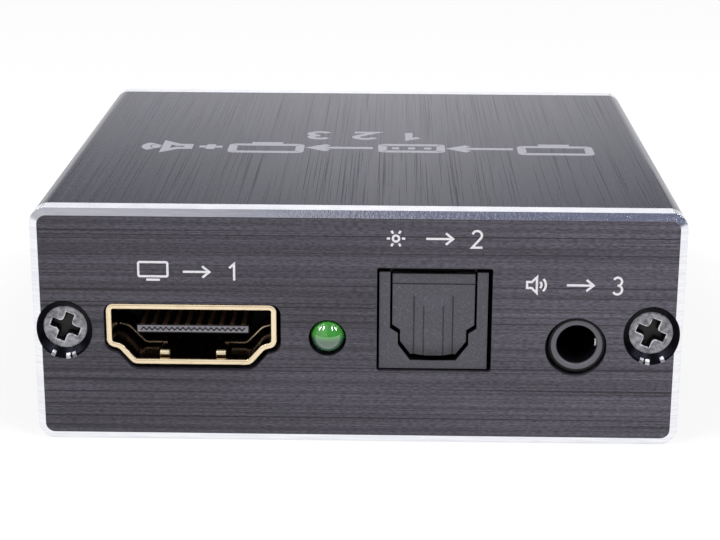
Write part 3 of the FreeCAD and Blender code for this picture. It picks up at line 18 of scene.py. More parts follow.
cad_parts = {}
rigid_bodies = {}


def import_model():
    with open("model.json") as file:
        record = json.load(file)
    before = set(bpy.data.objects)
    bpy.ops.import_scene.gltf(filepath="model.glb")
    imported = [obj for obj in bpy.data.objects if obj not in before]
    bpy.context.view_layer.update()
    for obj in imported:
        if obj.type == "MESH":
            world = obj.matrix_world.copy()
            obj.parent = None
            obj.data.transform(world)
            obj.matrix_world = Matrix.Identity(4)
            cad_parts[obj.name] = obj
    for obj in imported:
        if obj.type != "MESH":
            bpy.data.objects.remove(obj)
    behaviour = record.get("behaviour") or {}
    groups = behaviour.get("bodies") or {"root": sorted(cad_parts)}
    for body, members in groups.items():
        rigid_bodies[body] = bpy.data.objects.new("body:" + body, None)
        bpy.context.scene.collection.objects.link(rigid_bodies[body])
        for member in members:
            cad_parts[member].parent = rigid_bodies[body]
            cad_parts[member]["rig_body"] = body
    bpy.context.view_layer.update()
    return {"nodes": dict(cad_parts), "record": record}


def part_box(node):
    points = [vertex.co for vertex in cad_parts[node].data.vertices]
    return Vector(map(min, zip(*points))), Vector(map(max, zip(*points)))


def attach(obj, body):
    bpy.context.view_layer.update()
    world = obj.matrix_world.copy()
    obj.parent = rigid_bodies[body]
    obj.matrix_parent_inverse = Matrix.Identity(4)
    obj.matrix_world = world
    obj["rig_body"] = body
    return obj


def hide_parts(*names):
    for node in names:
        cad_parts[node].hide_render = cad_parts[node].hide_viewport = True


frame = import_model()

MM = 0.001
LOG = logging.getLogger("audio_extractor")
Socket = bpy.types.NodeSocket
Looks = dict[str, Any]
Colour = tuple[float, float, float, float]
Array = np.ndarray
Shell = tuple[Array, Array]

# The settings of a node that maps a range smoothly, and of one that mixes colours into its output 2
SMOOTH = {"interpolation_type": "SMOOTHSTEP"}
COLOUR = {"data_type": "RGBA"}
# The range that holds nearly all of a noise
BULK = (0.3, 0.7)
# The near black of painted shade, and the light of pure white
PAINTED_SHADE_BLACK = "#0c0c0d"
WHITE = (1.0, 1.0, 1.0, 1.0)
# Points nearer than this are one point
DOUBLE = 0.0004 * MM


class Grain(Enum):
    """The way that a brushed surface's scratches run."""
    ACROSS = 0
    ALONG = 1


class End(Enum):
    """An end of the box: its value turns the end's own frame to the part's."""
    FRONT = 1
    REAR = -1


class Way(Enum):
    """The face that a mark is printed on. The rows turn the mark's own axes to the part's."""
    FRONT = ((1, 0, 0), (0, 0, 1), (0, -1, 0))
    TOP = ((-1, 0, 0), (0, -1, 0), (0, 0, 1))


def linear(hex_colour: str) -> Colour:
    """Turn an sRGB hex colour to linear light.

    Args:
        hex_colour: Six hex digits after a hash mark.

    Returns:
        Red, green, blue and an alpha of 1.
    """
    shares = [int(hex_colour[start:start + 2], 16) / 255 for start in (1, 3, 5)]
    red, green, blue = (s / 12.92 if s <= 0.04045 else ((s + 0.055) / 1.055) ** 2.4 for s in shares)
    return red, green, blue, 1.0


class Nodes:
    """The nodes of one material or world while it is put together."""

    def __init__(self, owner: bpy.types.Material | bpy.types.World, place: str | None = "Object") -> None:
        """Start with nothing but the coordinates.

        Args:
            owner: The material or world.
            place: Which coordinates its patterns follow, if any.
        """
        owner.use_nodes = True
        self.tree = owner.node_tree
        self.tree.nodes.clear()
        self.place = self.add("TexCoord", out=place) if place else None

    def add(self, kind: str, sockets: dict[Any, Any] | Sequence[Any] = (), out: int | str = 0,
            **settings: Any) -> Socket | None:
        """Add a node.

        Args:
            kind: The node's type, without its leading "ShaderNode".
            sockets: Its inputs, by name or number or else in order: values, or outputs to link to them.
            out: The output that is given back, by name or number.
            settings: The node's own settings.

        Returns:
            The output, if the node has one. Its node holds the others.
        """
        node = self.tree.nodes.new("ShaderNode" + kind)
        for name, value in settings.items():
            setattr(node, name, value)
        for name, value in sockets.items() if isinstance(sockets, dict) else enumerate(sockets):
            if isinstance(value, Socket):
                self.tree.links.new(value, node.inputs[name])
            else:
                node.inputs[name].default_value = value
        return node.outputs[out] if node.outputs else None

    def blobs(self, sizes: Sequence[float], detail: float = 2.0, rough: float = 0.5) -> Socket:
        """A noise whose blobs have a real size along each axis.

        Args:
            sizes: The blobs' length along X, Y and Z, in mm.
            detail: How many finer layers are added.
            rough: How strong those layers are.

        Returns:
            The noise, from 0 to 1, about 0.5 on average.
        """
        scaled = self.add("Mapping", {"Vector": self.place, "Scale": [1 / (size * MM) for size in sizes]})
        return self.add("TexNoise", {"Vector": scaled, "Scale": 1.0, "Detail": detail, "Roughness": rough})

    def shade(self, colour: Colour | Socket, *values: Socket) -> Socket:
        """Multiply a colour by values.

        Args:
            colour: The colour, a value or an output.
            values: Numbers about 1.

        Returns:
            The shaded colour.
        """
        for value in values:
            grey = self.add("CombineColor", [value] * 3)
            colour = self.add("Mix", {0: 1.0, 6: colour, 7: grey}, 2, blend_type="MULTIPLY", **COLOUR)
        return colour

    def inwards(self, start: float) -> Socket:
        """The mask of what lies nearer to the box's middle than a distance along Y, in mm."""
        away = self.add("Math", [self.add("SeparateXYZ", [self.place], "Y")], operation="ABSOLUTE")
        return self.add("MapRange", (away, (start - 0.03) * MM, start * MM, 1.0, 0.0), **SMOOTH)

    def below(self, low: float, high: float, share: float) -> Socket:
        """A mask that is a share under the low height and nothing over the high one, in mm."""
        height = self.add("SeparateXYZ", [self.place], "Z")
        return self.add("MapRange", (height, low * MM, high * MM, share, 0.0), **SMOOTH)


@dataclass(frozen=True)
class Finish:
    """A surface finish, which makes one material.

    Attributes:
        name: The material's name.
        colour: Its main colour, as sRGB hex.
        roughness: The shader's roughness.
        edge: The radius that its edges are rounded to in the shading, in mm.
        gloss: The shader's specular level, below 0.5 where dust and pores dull the surface.
    """
    name: str
    colour: str
    roughness: float = 0.4
    edge: float = 0.05
    gloss: float = 0.5

    def make(self) -> bpy.types.Material:
        """Make the material, or find the one made before.

        Returns:
            The material.
        """
        made = bpy.data.materials.get(self.name)
        if not made:
            made = bpy.data.materials.new(self.name)
            made.diffuse_color = linear(self.colour)
            nodes = Nodes(made)
            looks = {"Roughness": self.roughness, "Specular IOR Level": self.gloss, **self.looks(nodes)}
            nodes.add("OutputMaterial", [nodes.add("BsdfPrincipled", looks)])
        return made

    def looks(self, nodes: Nodes) -> Looks:
        """The shader's inputs, by name: here one plain colour, and patterns in the finishes below."""
        return {"Base Color": linear(self.colour)}

    def mixed(self, nodes: Nodes, share: Socket, other: str) -> Socket:
        """The finish's colour with a share of another, as sRGB hex, mixed in."""
        return nodes.add("Mix", {0: share, 6: linear(self.colour), 7: linear(other)}, 2, **COLOUR)

    def relieved(self, nodes: Nodes, height: Socket, depth: float) -> Socket:
        """The surface's direction, with its edges rounded and its skin raised by a pattern.

        Args:
            nodes: The material's nodes.
            height: The pattern, from 0 to 1.
            depth: The height of the pattern's relief, in mm.

        Returns:
            The direction.
        """
        edges = nodes.add("Bevel", {"Radius": self.edge * MM}, samples=4)
        return nodes.add("Bump", {"Height": height, "Distance": depth * MM, "Strength": 1.0, "Normal": edges})


@dataclass(frozen=True)
class EdgeBand:
    """A plate's diamond-cut bevel, which is bare bright metal all round the plate, and its screw seats, which
    are painted dark as shade.

    Attributes:
        half_width: Half the plate's width, in mm.
        top: The plate's height, in mm.
        corner: Its corner radius, in mm.
        width: The bevel's width on the face, in mm.
        dull: The bare metal's colour in its duller patches.
        bright: Its colour in the brighter ones.
        glint: The patches' size along X, Y and Z, in mm.
        bare_rough: The bare metal's roughness.
        ground_metal: How metallic the ground top edge looks.
        ground_depth: How far under the top it starts and is full, in mm.
        chatter_start: Between which places along X the cutter's chatter sets in, in mm.
        chatter_depth: How far under the top it starts and is full, in mm.
        chatter_size: The size of its ripples along X, Y and Z, in mm.
        chatter_spread: What the ripples' noise is spread to, past 0 and 1, so that their sides are steep.
        seat_x: How far the screw seats lie from the middle, in mm.
        seat_z: Their height over the underside, in mm.
        seat_radius: The radius of a screw seat, anodised like the face and painted darker as shade, in mm.
        seat_squash: The width of a seat's painted ring of shade as a share of its height.
        seat_shade_colour: The colour of a seat's painted shade.
        seat_rough: A seat's roughness.
        chip_glint_colour: The colour of the chips in a seat's rim, painted bright as glints.
        chip_angles: Where the painted glints lie: outwards from straight down, in degrees.
        chip_shares: How bright each painted glint is.
        chip_half: Half a chip's width, in degrees.
        chip_depth: How far inside the rim a chip starts and is full, in mm.
    """
    half_width: float = 28.5
    top: float = 21.4
    corner: float = 1.5
    width: float = 0.68
    dull: str = "#e9eaf0"
    bright: str = "#f4f5f9"
    glint: tuple[float, float, float] = (2.5, 2.5, 0.2)
    bare_rough: float = 0.2
    ground_metal: float = 0.15
    ground_depth: tuple[float, float] = (0.06, 0.01)
    chatter_start: tuple[float, float] = (-12.0, 4.0)
    chatter_depth: tuple[float, float] = (1.0, 0.8)
    chatter_size: tuple[float, float, float] = (0.3, 0.3, 0.2)
    chatter_spread: tuple[float, float] = (-1.3, 2.3)
    seat_x: float = 25.8
    seat_z: float = 10.3
    seat_radius: float = 2.5
    seat_squash: float = 0.93
    seat_shade_colour: str = "#121217"
    seat_rough: float = 0.35
    chip_glint_colour: str = "#c4c5ca"
    chip_angles: tuple[float, ...] = (25.0, -6.0, -19.0)
    chip_shares: tuple[float, ...] = (0.5, 0.85, 0.3)
    chip_half: float = 4.2
    chip_depth: tuple[float, float] = (0.45, 0.38)

    def cut(self, nodes: Nodes, face: Looks) -> Looks:
        """Cut the bevel and the seats into a brushed face.

        Args:
            nodes: The material's nodes.
            face: The face's looks, with the height of its relief.

        Returns:
            The same for the whole plate.
        """
        add = nodes.add
        bare, seat = self.bare(nodes), self.seat(nodes)
        glint = add("MapRange", (nodes.blobs(self.glint), *BULK), **SMOOTH)
        metal = add("Mix", {0: glint, 6: linear(self.dull), 7: linear(self.bright)}, 2, **COLOUR)
        base, rough = face["Base Color"], face["Roughness"]
        # The bare bevel, then the seats in their painted shade, near black
        for mask, colour, roughness in ((bare, metal, self.bare_rough),
                                        (seat, linear(self.seat_shade_colour), self.seat_rough)):
            base = add("Mix", {0: mask, 6: base, 7: colour}, 2, **COLOUR)
            rough = add("Mix", {0: mask, 2: rough, 3: roughness})
        # Painted glints: bright chips low in the seats' rims
        base = add("Mix", {0: self.chips(nodes), 6: base, 7: linear(self.chip_glint_colour)}, 2, **COLOUR)
        either = add("Math", (bare, seat), operation="MAXIMUM")
        metallic = add("MapRange", (either, 0.0, 1.0, face["Metallic"], 1.0), **SMOOTH)
        metallic = add("Mix", {0: self.ground(nodes), 2: metallic, 3: self.ground_metal})
        height = add("Mix", {0: bare, 6: face["Height"], 7: self.chatter(nodes)}, 2, **COLOUR)
        return {"Base Color": base, "Roughness": rough, "Metallic": metallic, "Height": height}

    def bare(self, nodes: Nodes) -> Socket:
        """The mask of the bare metal: near the plate's rounded outline.

        The distance to a rounded rectangle is the length of what sticks out past its straight part, less
        the corner's radius.

        Args:
            nodes: The material's nodes.

        Returns:
            1 on the bare metal and 0 on the anodised face.
        """
        middle = nodes.add("VectorMath", (nodes.place, (0, 0, self.top / 2 * MM)), operation="SUBTRACT")
        size = nodes.add("VectorMath", [middle], operation="ABSOLUTE")
        straight = ((self.half_width - self.corner) * MM, 1.0, (self.top / 2 - self.corner) * MM)
        past = nodes.add("VectorMath", (size, straight), operation="SUBTRACT")
        out = nodes.add("VectorMath", (past, (0, 0, 0)), operation="MAXIMUM")
        reach = nodes.add("VectorMath", [out], "Value", operation="LENGTH")
        inner = (self.corner - self.width) * MM
        return nodes.add("MapRange", (reach, inner - 0.01 * MM, inner + 0.02 * MM), **SMOOTH)

    def from_seat(self, nodes: Nodes) -> Socket:
        """The way from the nearer screw's axis: outwards along X, and up.

        Args:
            nodes: The material's nodes.

        Returns:
            The vector, in metres.
        """
        middle = nodes.add("VectorMath", (nodes.place, (0, 0, self.seat_z * MM)), operation="SUBTRACT")
        mirrored = nodes.add("VectorMath", (middle, (-1, 0, 1)), operation="MULTIPLY")
        right = nodes.add("Math", (nodes.add("SeparateXYZ", [nodes.place], "X"), 0.0),
                          operation="GREATER_THAN")
        outwards = nodes.add("Mix", {0: right, 4: mirrored, 5: middle}, 1, data_type="VECTOR")
        seat = nodes.add("VectorMath", (outwards, (self.seat_x * MM, 0, 0)), operation="SUBTRACT")
        return nodes.add("VectorMath", (seat, (1, 0, 1)), operation="MULTIPLY")

    def reach(self, nodes: Nodes) -> Socket:
        """The distance from the nearer screw's axis, with heights squashed as a seat's ring is.

        Args:
            nodes: The material's nodes.

        Returns:
            The distance, in metres.
        """
        squash = (1, 0, self.seat_squash)
        away = nodes.add("VectorMath", (self.from_seat(nodes), squash), operation="MULTIPLY")
        return nodes.add("VectorMath", [away], "Value", operation="LENGTH")

    def seat(self, nodes: Nodes) -> Socket:
        """The mask of the two screw seats, painted darker and glossier than the face as shade."""
        edge = self.seat_radius * MM
        return nodes.add("MapRange", (self.reach(nodes), edge - 0.02 * MM, edge, 1.0, 0.0), **SMOOTH)

    def ground(self, nodes: Nodes) -> Socket:
        """The mask of the plate's top edge, which was ground, so that it scatters the light from above."""
        low, high = ((self.top - depth) * MM for depth in self.ground_depth)
        return nodes.add("MapRange", (nodes.add("SeparateXYZ", [nodes.place], "Z"), low, high), **SMOOTH)

    def chatter(self, nodes: Nodes) -> Socket:
        """The height of the ripples that the cutter left along the right part of the plate's top edge.

        Args:
            nodes: The material's nodes.

        Returns:
            The height, 0.5 where there are none.
        """
        across, _, up = nodes.add("SeparateXYZ", [nodes.place]).node.outputs
        start, full = (place * MM for place in self.chatter_start)
        low, high = ((self.top - depth) * MM for depth in self.chatter_depth)
        right = nodes.add("MapRange", (across, start, full), **SMOOTH)
        above = nodes.add("MapRange", (up, low, high), **SMOOTH)
        share = nodes.add("Math", (right, above), operation="MULTIPLY")
        ripple = nodes.blobs(self.chatter_size, 2.0, 0.7)
        ripple = nodes.add("MapRange", (ripple, *BULK, *self.chatter_spread), **SMOOTH)
        return nodes.add("Mix", {0: share, 2: 0.5, 3: ripple})

    def chips(self, nodes: Nodes) -> Socket:
        """The mask of the chips low on the seats' rims, painted glints that stand for the lamps' reflections
        there.

        Each chip is a step of the rim as wide as an angle about the screw's axis, and as high as the ring.

        Args:
            nodes: The material's nodes.

        Returns:
            The mask, brighter on some chips.
        """
        away, edge = self.reach(nodes), self.seat_radius
        start, full = ((edge - depth) * MM for depth in self.chip_depth)
        ring = nodes.add("MapRange", (away, start, full), **SMOOTH)
        inside = nodes.add("MapRange", (away, edge * MM, (edge + 0.03) * MM, 1.0, 0.0), **SMOOTH)
        across, _, up = nodes.add("SeparateXYZ", [self.from_seat(nodes)]).node.outputs
        down = nodes.add("Math", (up, -1.0), operation="MULTIPLY")
        angle = nodes.add("Math", (across, down), operation="ARCTAN2")
        chips: Socket | float = 0.0
        for middle, share in zip(self.chip_angles, self.chip_shares):
            chip = nodes.add("Math", (angle, math.radians(middle), math.radians(self.chip_half)),
                             operation="COMPARE")
            chips = nodes.add("Math", (chip, share, chips), operation="MULTIPLY_ADD")
        ring = nodes.add("Math", (ring, inside), operation="MULTIPLY")
        return nodes.add("Math", (ring, chips), operation="MULTIPLY")


@dataclass(frozen=True)
class Brushed(Finish):
    """Black anodised aluminium, brushed one way before it was dyed: fine scratches in a satin grey.

    Attributes:
        grain: The way that the scratches run.
        long: The length of the faint rows, in mm.
        short: The length of the deep scratches, in mm.
        width: The width of a row of scratches, in mm. The real ones are finer, and are drawn wider than
            a pixel of the render so that they show.
        depth: How much darker the deep scratches are.
        contrast: How strongly the faint rows change the tone.
        grit: How strongly the fine grit changes it.
        grit_size: The grit's length and width, in mm.
        cloud: How strongly the slow change of tone does.
        cloud_size: Its length and width, in mm.
        satin: How much the rows change the roughness.
        scratch_noise: The part of a noise over which a deep scratch sets in. Less of it makes more.
        scratch_rough: The roughness in the deep scratches.
        paler: How much paler the colour is painted towards the right end, as painted light.
        paler_span: Between which places along X it gets so, in mm.
        faint: How much fainter the scratches are towards the rear.
        faint_span: Between which places along Y they get so, in mm.
        metallic: How metallic the dyed skin looks.
        relief: The scratches' depth, in mm.
        band: The bare bevel of a plate, if it has one.
    """
    grain: Grain = Grain.ACROSS
    long: float = 45.0
    short: float = 16.0
    width: float = 0.14
    depth: float = 0.4
    contrast: float = 0.32
    grit: float = 0.3
    grit_size: tuple[float, float] = (0.5, 0.11)
    cloud: float = 0.12
    cloud_size: tuple[float, float] = (18.0, 4.0)
    satin: float = 0.04
    scratch_noise: tuple[float, float] = (0.62, 0.7)
    scratch_rough: float = 0.5
    paler: float = 0.0
    paler_span: tuple[float, float] = (-6.0, 28.0)
    faint: float = 0.0
    faint_span: tuple[float, float] = (-22.0, 10.0)
    metallic: float = 0.25
    relief: float = 0.003
    band: EdgeBand | None = None

    def looks(self, nodes: Nodes) -> Looks:
        """Rows, deep scratches, a fine grit, a slow change of tone and painted light towards the right end;
        on a plate, the bare bevel too.

        Args:
            nodes: The material's nodes.

        Returns:
            The shader's inputs, by name.
        """
        add = nodes.add
        rows = nodes.blobs(self.along(self.long, self.width), 3.0, 0.7)
        grit = nodes.blobs(self.along(*self.grit_size), 2.0, 0.6)
        cloud = nodes.blobs(self.along(*self.cloud_size))
        deep = nodes.blobs(self.along(self.short, self.width * 0.9), 0.0)
        deep = add("MapRange", (deep, *self.scratch_noise), **SMOOTH)
        across, back, _ = add("SeparateXYZ", [nodes.place]).node.outputs
        # Painted light: the colour grows paler towards the right end
        left, right = (place * MM for place in self.paler_span)
        plain = nodes.shade(linear(self.colour),
                            add("MapRange", (across, left, right, 1.0, 1 + self.paler), **SMOOTH),
                            add("MapRange", (cloud, *BULK, 1 - self.cloud, 1 + self.cloud), **SMOOTH))
        base = nodes.shade(plain,
                           add("MapRange", (rows, *BULK, 1 - self.contrast, 1 + self.contrast), **SMOOTH),
                           add("MapRange", (grit, *BULK, 1 - self.grit, 1 + self.grit), **SMOOTH),
                           add("MapRange", (deep, 0.0, 1.0, 1.0, 1 - self.depth), **SMOOTH))
        satin = add("MapRange", (rows, *BULK, self.roughness - self.satin, self.roughness + self.satin),
                    **SMOOTH)
        rough = add("Mix", {0: deep, 2: satin, 3: self.scratch_rough})
        if self.faint:
            near, far = (place * MM for place in self.faint_span)
            worn = add("MapRange", (back, near, far, 0.0, self.faint), **SMOOTH)
            base = add("Mix", {0: worn, 6: base, 7: plain}, 2, **COLOUR)
            rough = add("Mix", {0: worn, 2: rough, 3: self.roughness})
        looks = {"Base Color": base, "Roughness": rough, "Metallic": self.metallic,
                 "Height": add("Mix", {0: 0.5, 6: rows, 7: grit}, 2, **COLOUR)}
        if self.band:
            looks = self.band.cut(nodes, looks)
        looks["Normal"] = self.relieved(nodes, looks.pop("Height"), self.relief)
        return looks

    def along(self, length: float, width: float) -> list[float]:
        """The sizes of a blob that is stretched along the grain.

        Args:
            length: Its length along the grain.
            width: Its width the other ways.

        Returns:
            Its sizes along X, Y and Z.
        """
        sizes = [width] * 3
        sizes[self.grain.value] = length
        return sizes


@dataclass(frozen=True)
class Plated(Finish):
    """Plated or bare metal that was stamped or drawn: mirror-like, with soft waves and faint tarnish.

    Attributes:
        tarnish: The colour that it tends to in patches.
        patch: The patches' size, in mm.
        relief: The depth of the waves left by the press, in mm.
        inside: The colour painted deeper in a socket's mouth as shade, if it has one.
        mouth: How far from the box's middle the inside starts, in mm.
    """
    tarnish: str = "#8a7a60"
    patch: float = 1.2
    relief: float = 0.002
    inside: str = ""
    mouth: float = 25.75

    def looks(self, nodes: Nodes) -> Looks:
        """Patches of tarnish, an uneven polish and shallow waves, with painted shade deeper in a socket's
        mouth where an inside colour is set.

        Args:
            nodes: The material's nodes.

        Returns:
            The shader's inputs, by name.
        """
        patches = nodes.blobs([self.patch] * 3, 3.0)
        share = nodes.add("MapRange", (patches, 0.45, 0.85, 0.0, 0.45), **SMOOTH)
        base = self.mixed(nodes, share, self.tarnish)
        if self.inside:
            # Painted shade: the colour turns to the inside colour deeper in the socket's mouth
            inner = nodes.inwards(self.mouth)
            base = nodes.add("Mix", {0: inner, 6: base, 7: linear(self.inside)}, 2, **COLOUR)
        rough = nodes.add("MapRange", (patches, *BULK, self.roughness - 0.05, self.roughness + 0.08),
                          **SMOOTH)
        waves = nodes.blobs([self.patch / 4] * 3)
        return {"Base Color": base, "Roughness": rough, "Metallic": 1.0,
                "Normal": self.relieved(nodes, waves, self.relief)}


@dataclass(frozen=True)
class DrivenScrew(Finish):
    """A zinc plated steel screw, passivated black: its face is rubbed grey, its edges carry a painted
    highlight, and its recess is painted black, for the passivation and for the shade in it.

    Attributes:
        black: The passivation's colour, painted in the recess, where it stands for the recess's shade too.
        bright: The colour of the painted highlight on the edges.
        face: How far from the box's middle the face lies, in mm.
        worn: How far down the painted highlight on the edges reaches before the recess is painted black, in
            mm.
        mottle: The size of the face's mottles, in mm.
        relief: Their depth, in mm.
    """
    black: str = "#060607"
    bright: str = "#d9dade"
    face: float = 25.8
    worn: float = 0.07
    mottle: float = 0.45
    relief: float = 0.01

    def looks(self, nodes: Nodes) -> Looks:
        """A mottled grey face with a painted highlight on its edges, over glossy black that is painted shade
        in the recess.

        Args:
            nodes: The material's nodes.

        Returns:
            The shader's inputs, by name.
        """
        add = nodes.add
        mottle = nodes.blobs([self.mottle] * 3, 4.0, 0.6)
        worn = nodes.shade(linear(self.colour), add("MapRange", (mottle, *BULK, 0.55, 1.5), **SMOOTH))
        edge = add("MapRange", (mottle, 0.35, 0.55, 0.2, 1.0), **SMOOTH)
        # Painted highlight: the edges just under the face turn bright
        lower = add("Math", (nodes.inwards(self.face - 0.005), edge), operation="MULTIPLY")
        worn = add("Mix", {0: lower, 6: worn, 7: linear(self.bright)}, 2, **COLOUR)
        # Painted shade: deeper in the recess it is black, the passivation and its shade together
        deep = nodes.inwards(self.face - self.worn)
        return {"Base Color": add("Mix", {0: deep, 6: worn, 7: linear(self.black)}, 2, **COLOUR),
                "Metallic": add("MapRange", (deep, 0.0, 1.0, 0.6, 0.0), **SMOOTH),
                "Normal": self.relieved(nodes, mottle, self.relief)}


@dataclass(frozen=True)
class Moulded(Finish):
    """Moulded thermoplastic or epoxy: an even colour with the tool's fine spark-eroded texture.

    Attributes:
        pit: The size of a texture pit, in mm.
        relief: Its depth, in mm.
        pale: The colour of the pits' rims, which catch more light.
        foot: The height below which painted shade darkens it, in mm. 0 where there is none.
        foot_soft: Over how much height the painted shade sets in, in mm.
        foot_share: How much of the colour is painted shade at the foot.
        mouth: How far from the box's middle the walls of its openings start, which are painted black as
            shade, in mm. 0 where there are none.
    """
    pit: float = 0.09
    relief: float = 0.004
    pale: str = "#3a393c"
    foot: float = 0.0
    foot_soft: float = 1.2
    foot_share: float = 0.6
    mouth: float = 0.0

    def looks(self, nodes: Nodes) -> Looks:
        """Pits with paler rims, a slight change of gloss where the plastic flowed, and painted shade at the
        foot and in the openings where these are set.

        Args:
            nodes: The material's nodes.

        Returns:
            The shader's inputs, by name.
        """
        pits = nodes.blobs([self.pit] * 3, 3.0, 0.6)
        base = self.mixed(nodes, nodes.add("MapRange", (pits, 0.45, 0.8, 0.0, 0.5), **SMOOTH), self.pale)
        if self.foot:
            # Painted shade: the colour darkens towards the foot
            foot_shade = nodes.below(self.foot - self.foot_soft, self.foot, self.foot_share)
            base = nodes.add("Mix", {0: foot_shade, 6: base, 7: linear(PAINTED_SHADE_BLACK)}, 2, **COLOUR)
        if self.mouth:
            # Painted shade: the walls of the openings are painted black
            base = nodes.add("Mix", {0: nodes.inwards(self.mouth), 6: base, 7: linear(PAINTED_SHADE_BLACK)}, 2, **COLOUR)
        flow = nodes.blobs((4.0, 4.0, 2.0), 1.0)
        rough = nodes.add("MapRange", (flow, *BULK, self.roughness - 0.05, self.roughness + 0.05), **SMOOTH)
        return {"Base Color": base, "Roughness": rough, "Normal": self.relieved(nodes, pits, self.relief)}


@dataclass(frozen=True)
class Board(Finish):
    """Glass epoxy board under a green solder mask, with copper tracks that show through it paler.

    Attributes:
        track: The colour over copper.
        pitch: The spacing of the tracks, in mm.
        relief: How far they stand up under the mask, in mm.
    """
    track: str = "#1d5a33"
    pitch: float = 0.9
    relief: float = 0.01

    def looks(self, nodes: Nodes) -> Looks:
        """Tracks as the walls of square cells.

        Args:
            nodes: The material's nodes.

        Returns:
            The shader's inputs, by name.
        """
        scaled = nodes.add("Mapping", {"Vector": nodes.place, "Scale": [1 / (self.pitch * MM)] * 3})
        cells = nodes.add("TexVoronoi", {"Vector": scaled, "Scale": 1.0, "Randomness": 0.6}, "Distance",
                          distance="CHEBYCHEV", feature="F1")
        share = nodes.add("MapRange", (cells, 0.35, 0.45), **SMOOTH)
        return {"Base Color": self.mixed(nodes, share, self.track),
                "Normal": self.relieved(nodes, share, self.relief)}


@dataclass(frozen=True)
class Lens(Finish):
    """Cast epoxy, dyed through and clear: glossy, and lit from within by what passes it.

    Attributes:
        deep: The colour where the epoxy is thick, also painted below the crown as shade where lit is set.
        clear: The share of the light that goes through.
        skin: The refractive index of the gloss, which sets how strongly the room shows in it.
        lit: The heights between which the colour turns from deep to bright, as painted light from above on
            the crown, in mm.
        index: The epoxy's own refractive index.
        polish: The roughness of its skin.
    """
    deep: str = "#0d3a16"
    clear: float = 0.2
    skin: float = 2.2
    lit: tuple[float, float] | None = None
    index: float = 1.53
    polish: float = 0.03

    def looks(self, nodes: Nodes) -> Looks:
        """Faint swirls of dye under a clear skin, and, where lit is set, a crown painted brighter as light
        from above.

        Args:
            nodes: The material's nodes.

        Returns:
            The shader's inputs, by name.
        """
        swirl = nodes.add("MapRange", (nodes.blobs([0.9] * 3), 0.35, 0.75, 0.0, 0.2), **SMOOTH)
        base = self.mixed(nodes, swirl, self.deep)
        if self.lit:
            # Painted light: the crown is brighter, the part below deep green
            low = nodes.below(*self.lit, 1.0)
            base = nodes.add("Mix", {0: low, 6: base, 7: linear(self.deep)}, 2, **COLOUR)
        return {"Base Color": base, "Transmission Weight": self.clear, "IOR": self.index,
                "Coat Weight": 1.0, "Coat IOR": self.skin, "Coat Roughness": self.polish}


@dataclass(frozen=True)
class Ink(Finish):
    """Screen-printed ink: matt, a little thin in places, with the brushed metal showing through.

    Attributes:
        thin: The colour where the ink is thin.
    """
    thin: str = "#9b999e"

    def looks(self, nodes: Nodes) -> Looks:
        """Thin specks as fine as the screen's mesh."""
        specks = nodes.add("MapRange", (nodes.blobs([0.12] * 3, 3.0, 0.7), 0.5, 0.75, 0.0, 0.8), **SMOOTH)
        return {"Base Color": self.mixed(nodes, specks, self.thin)}


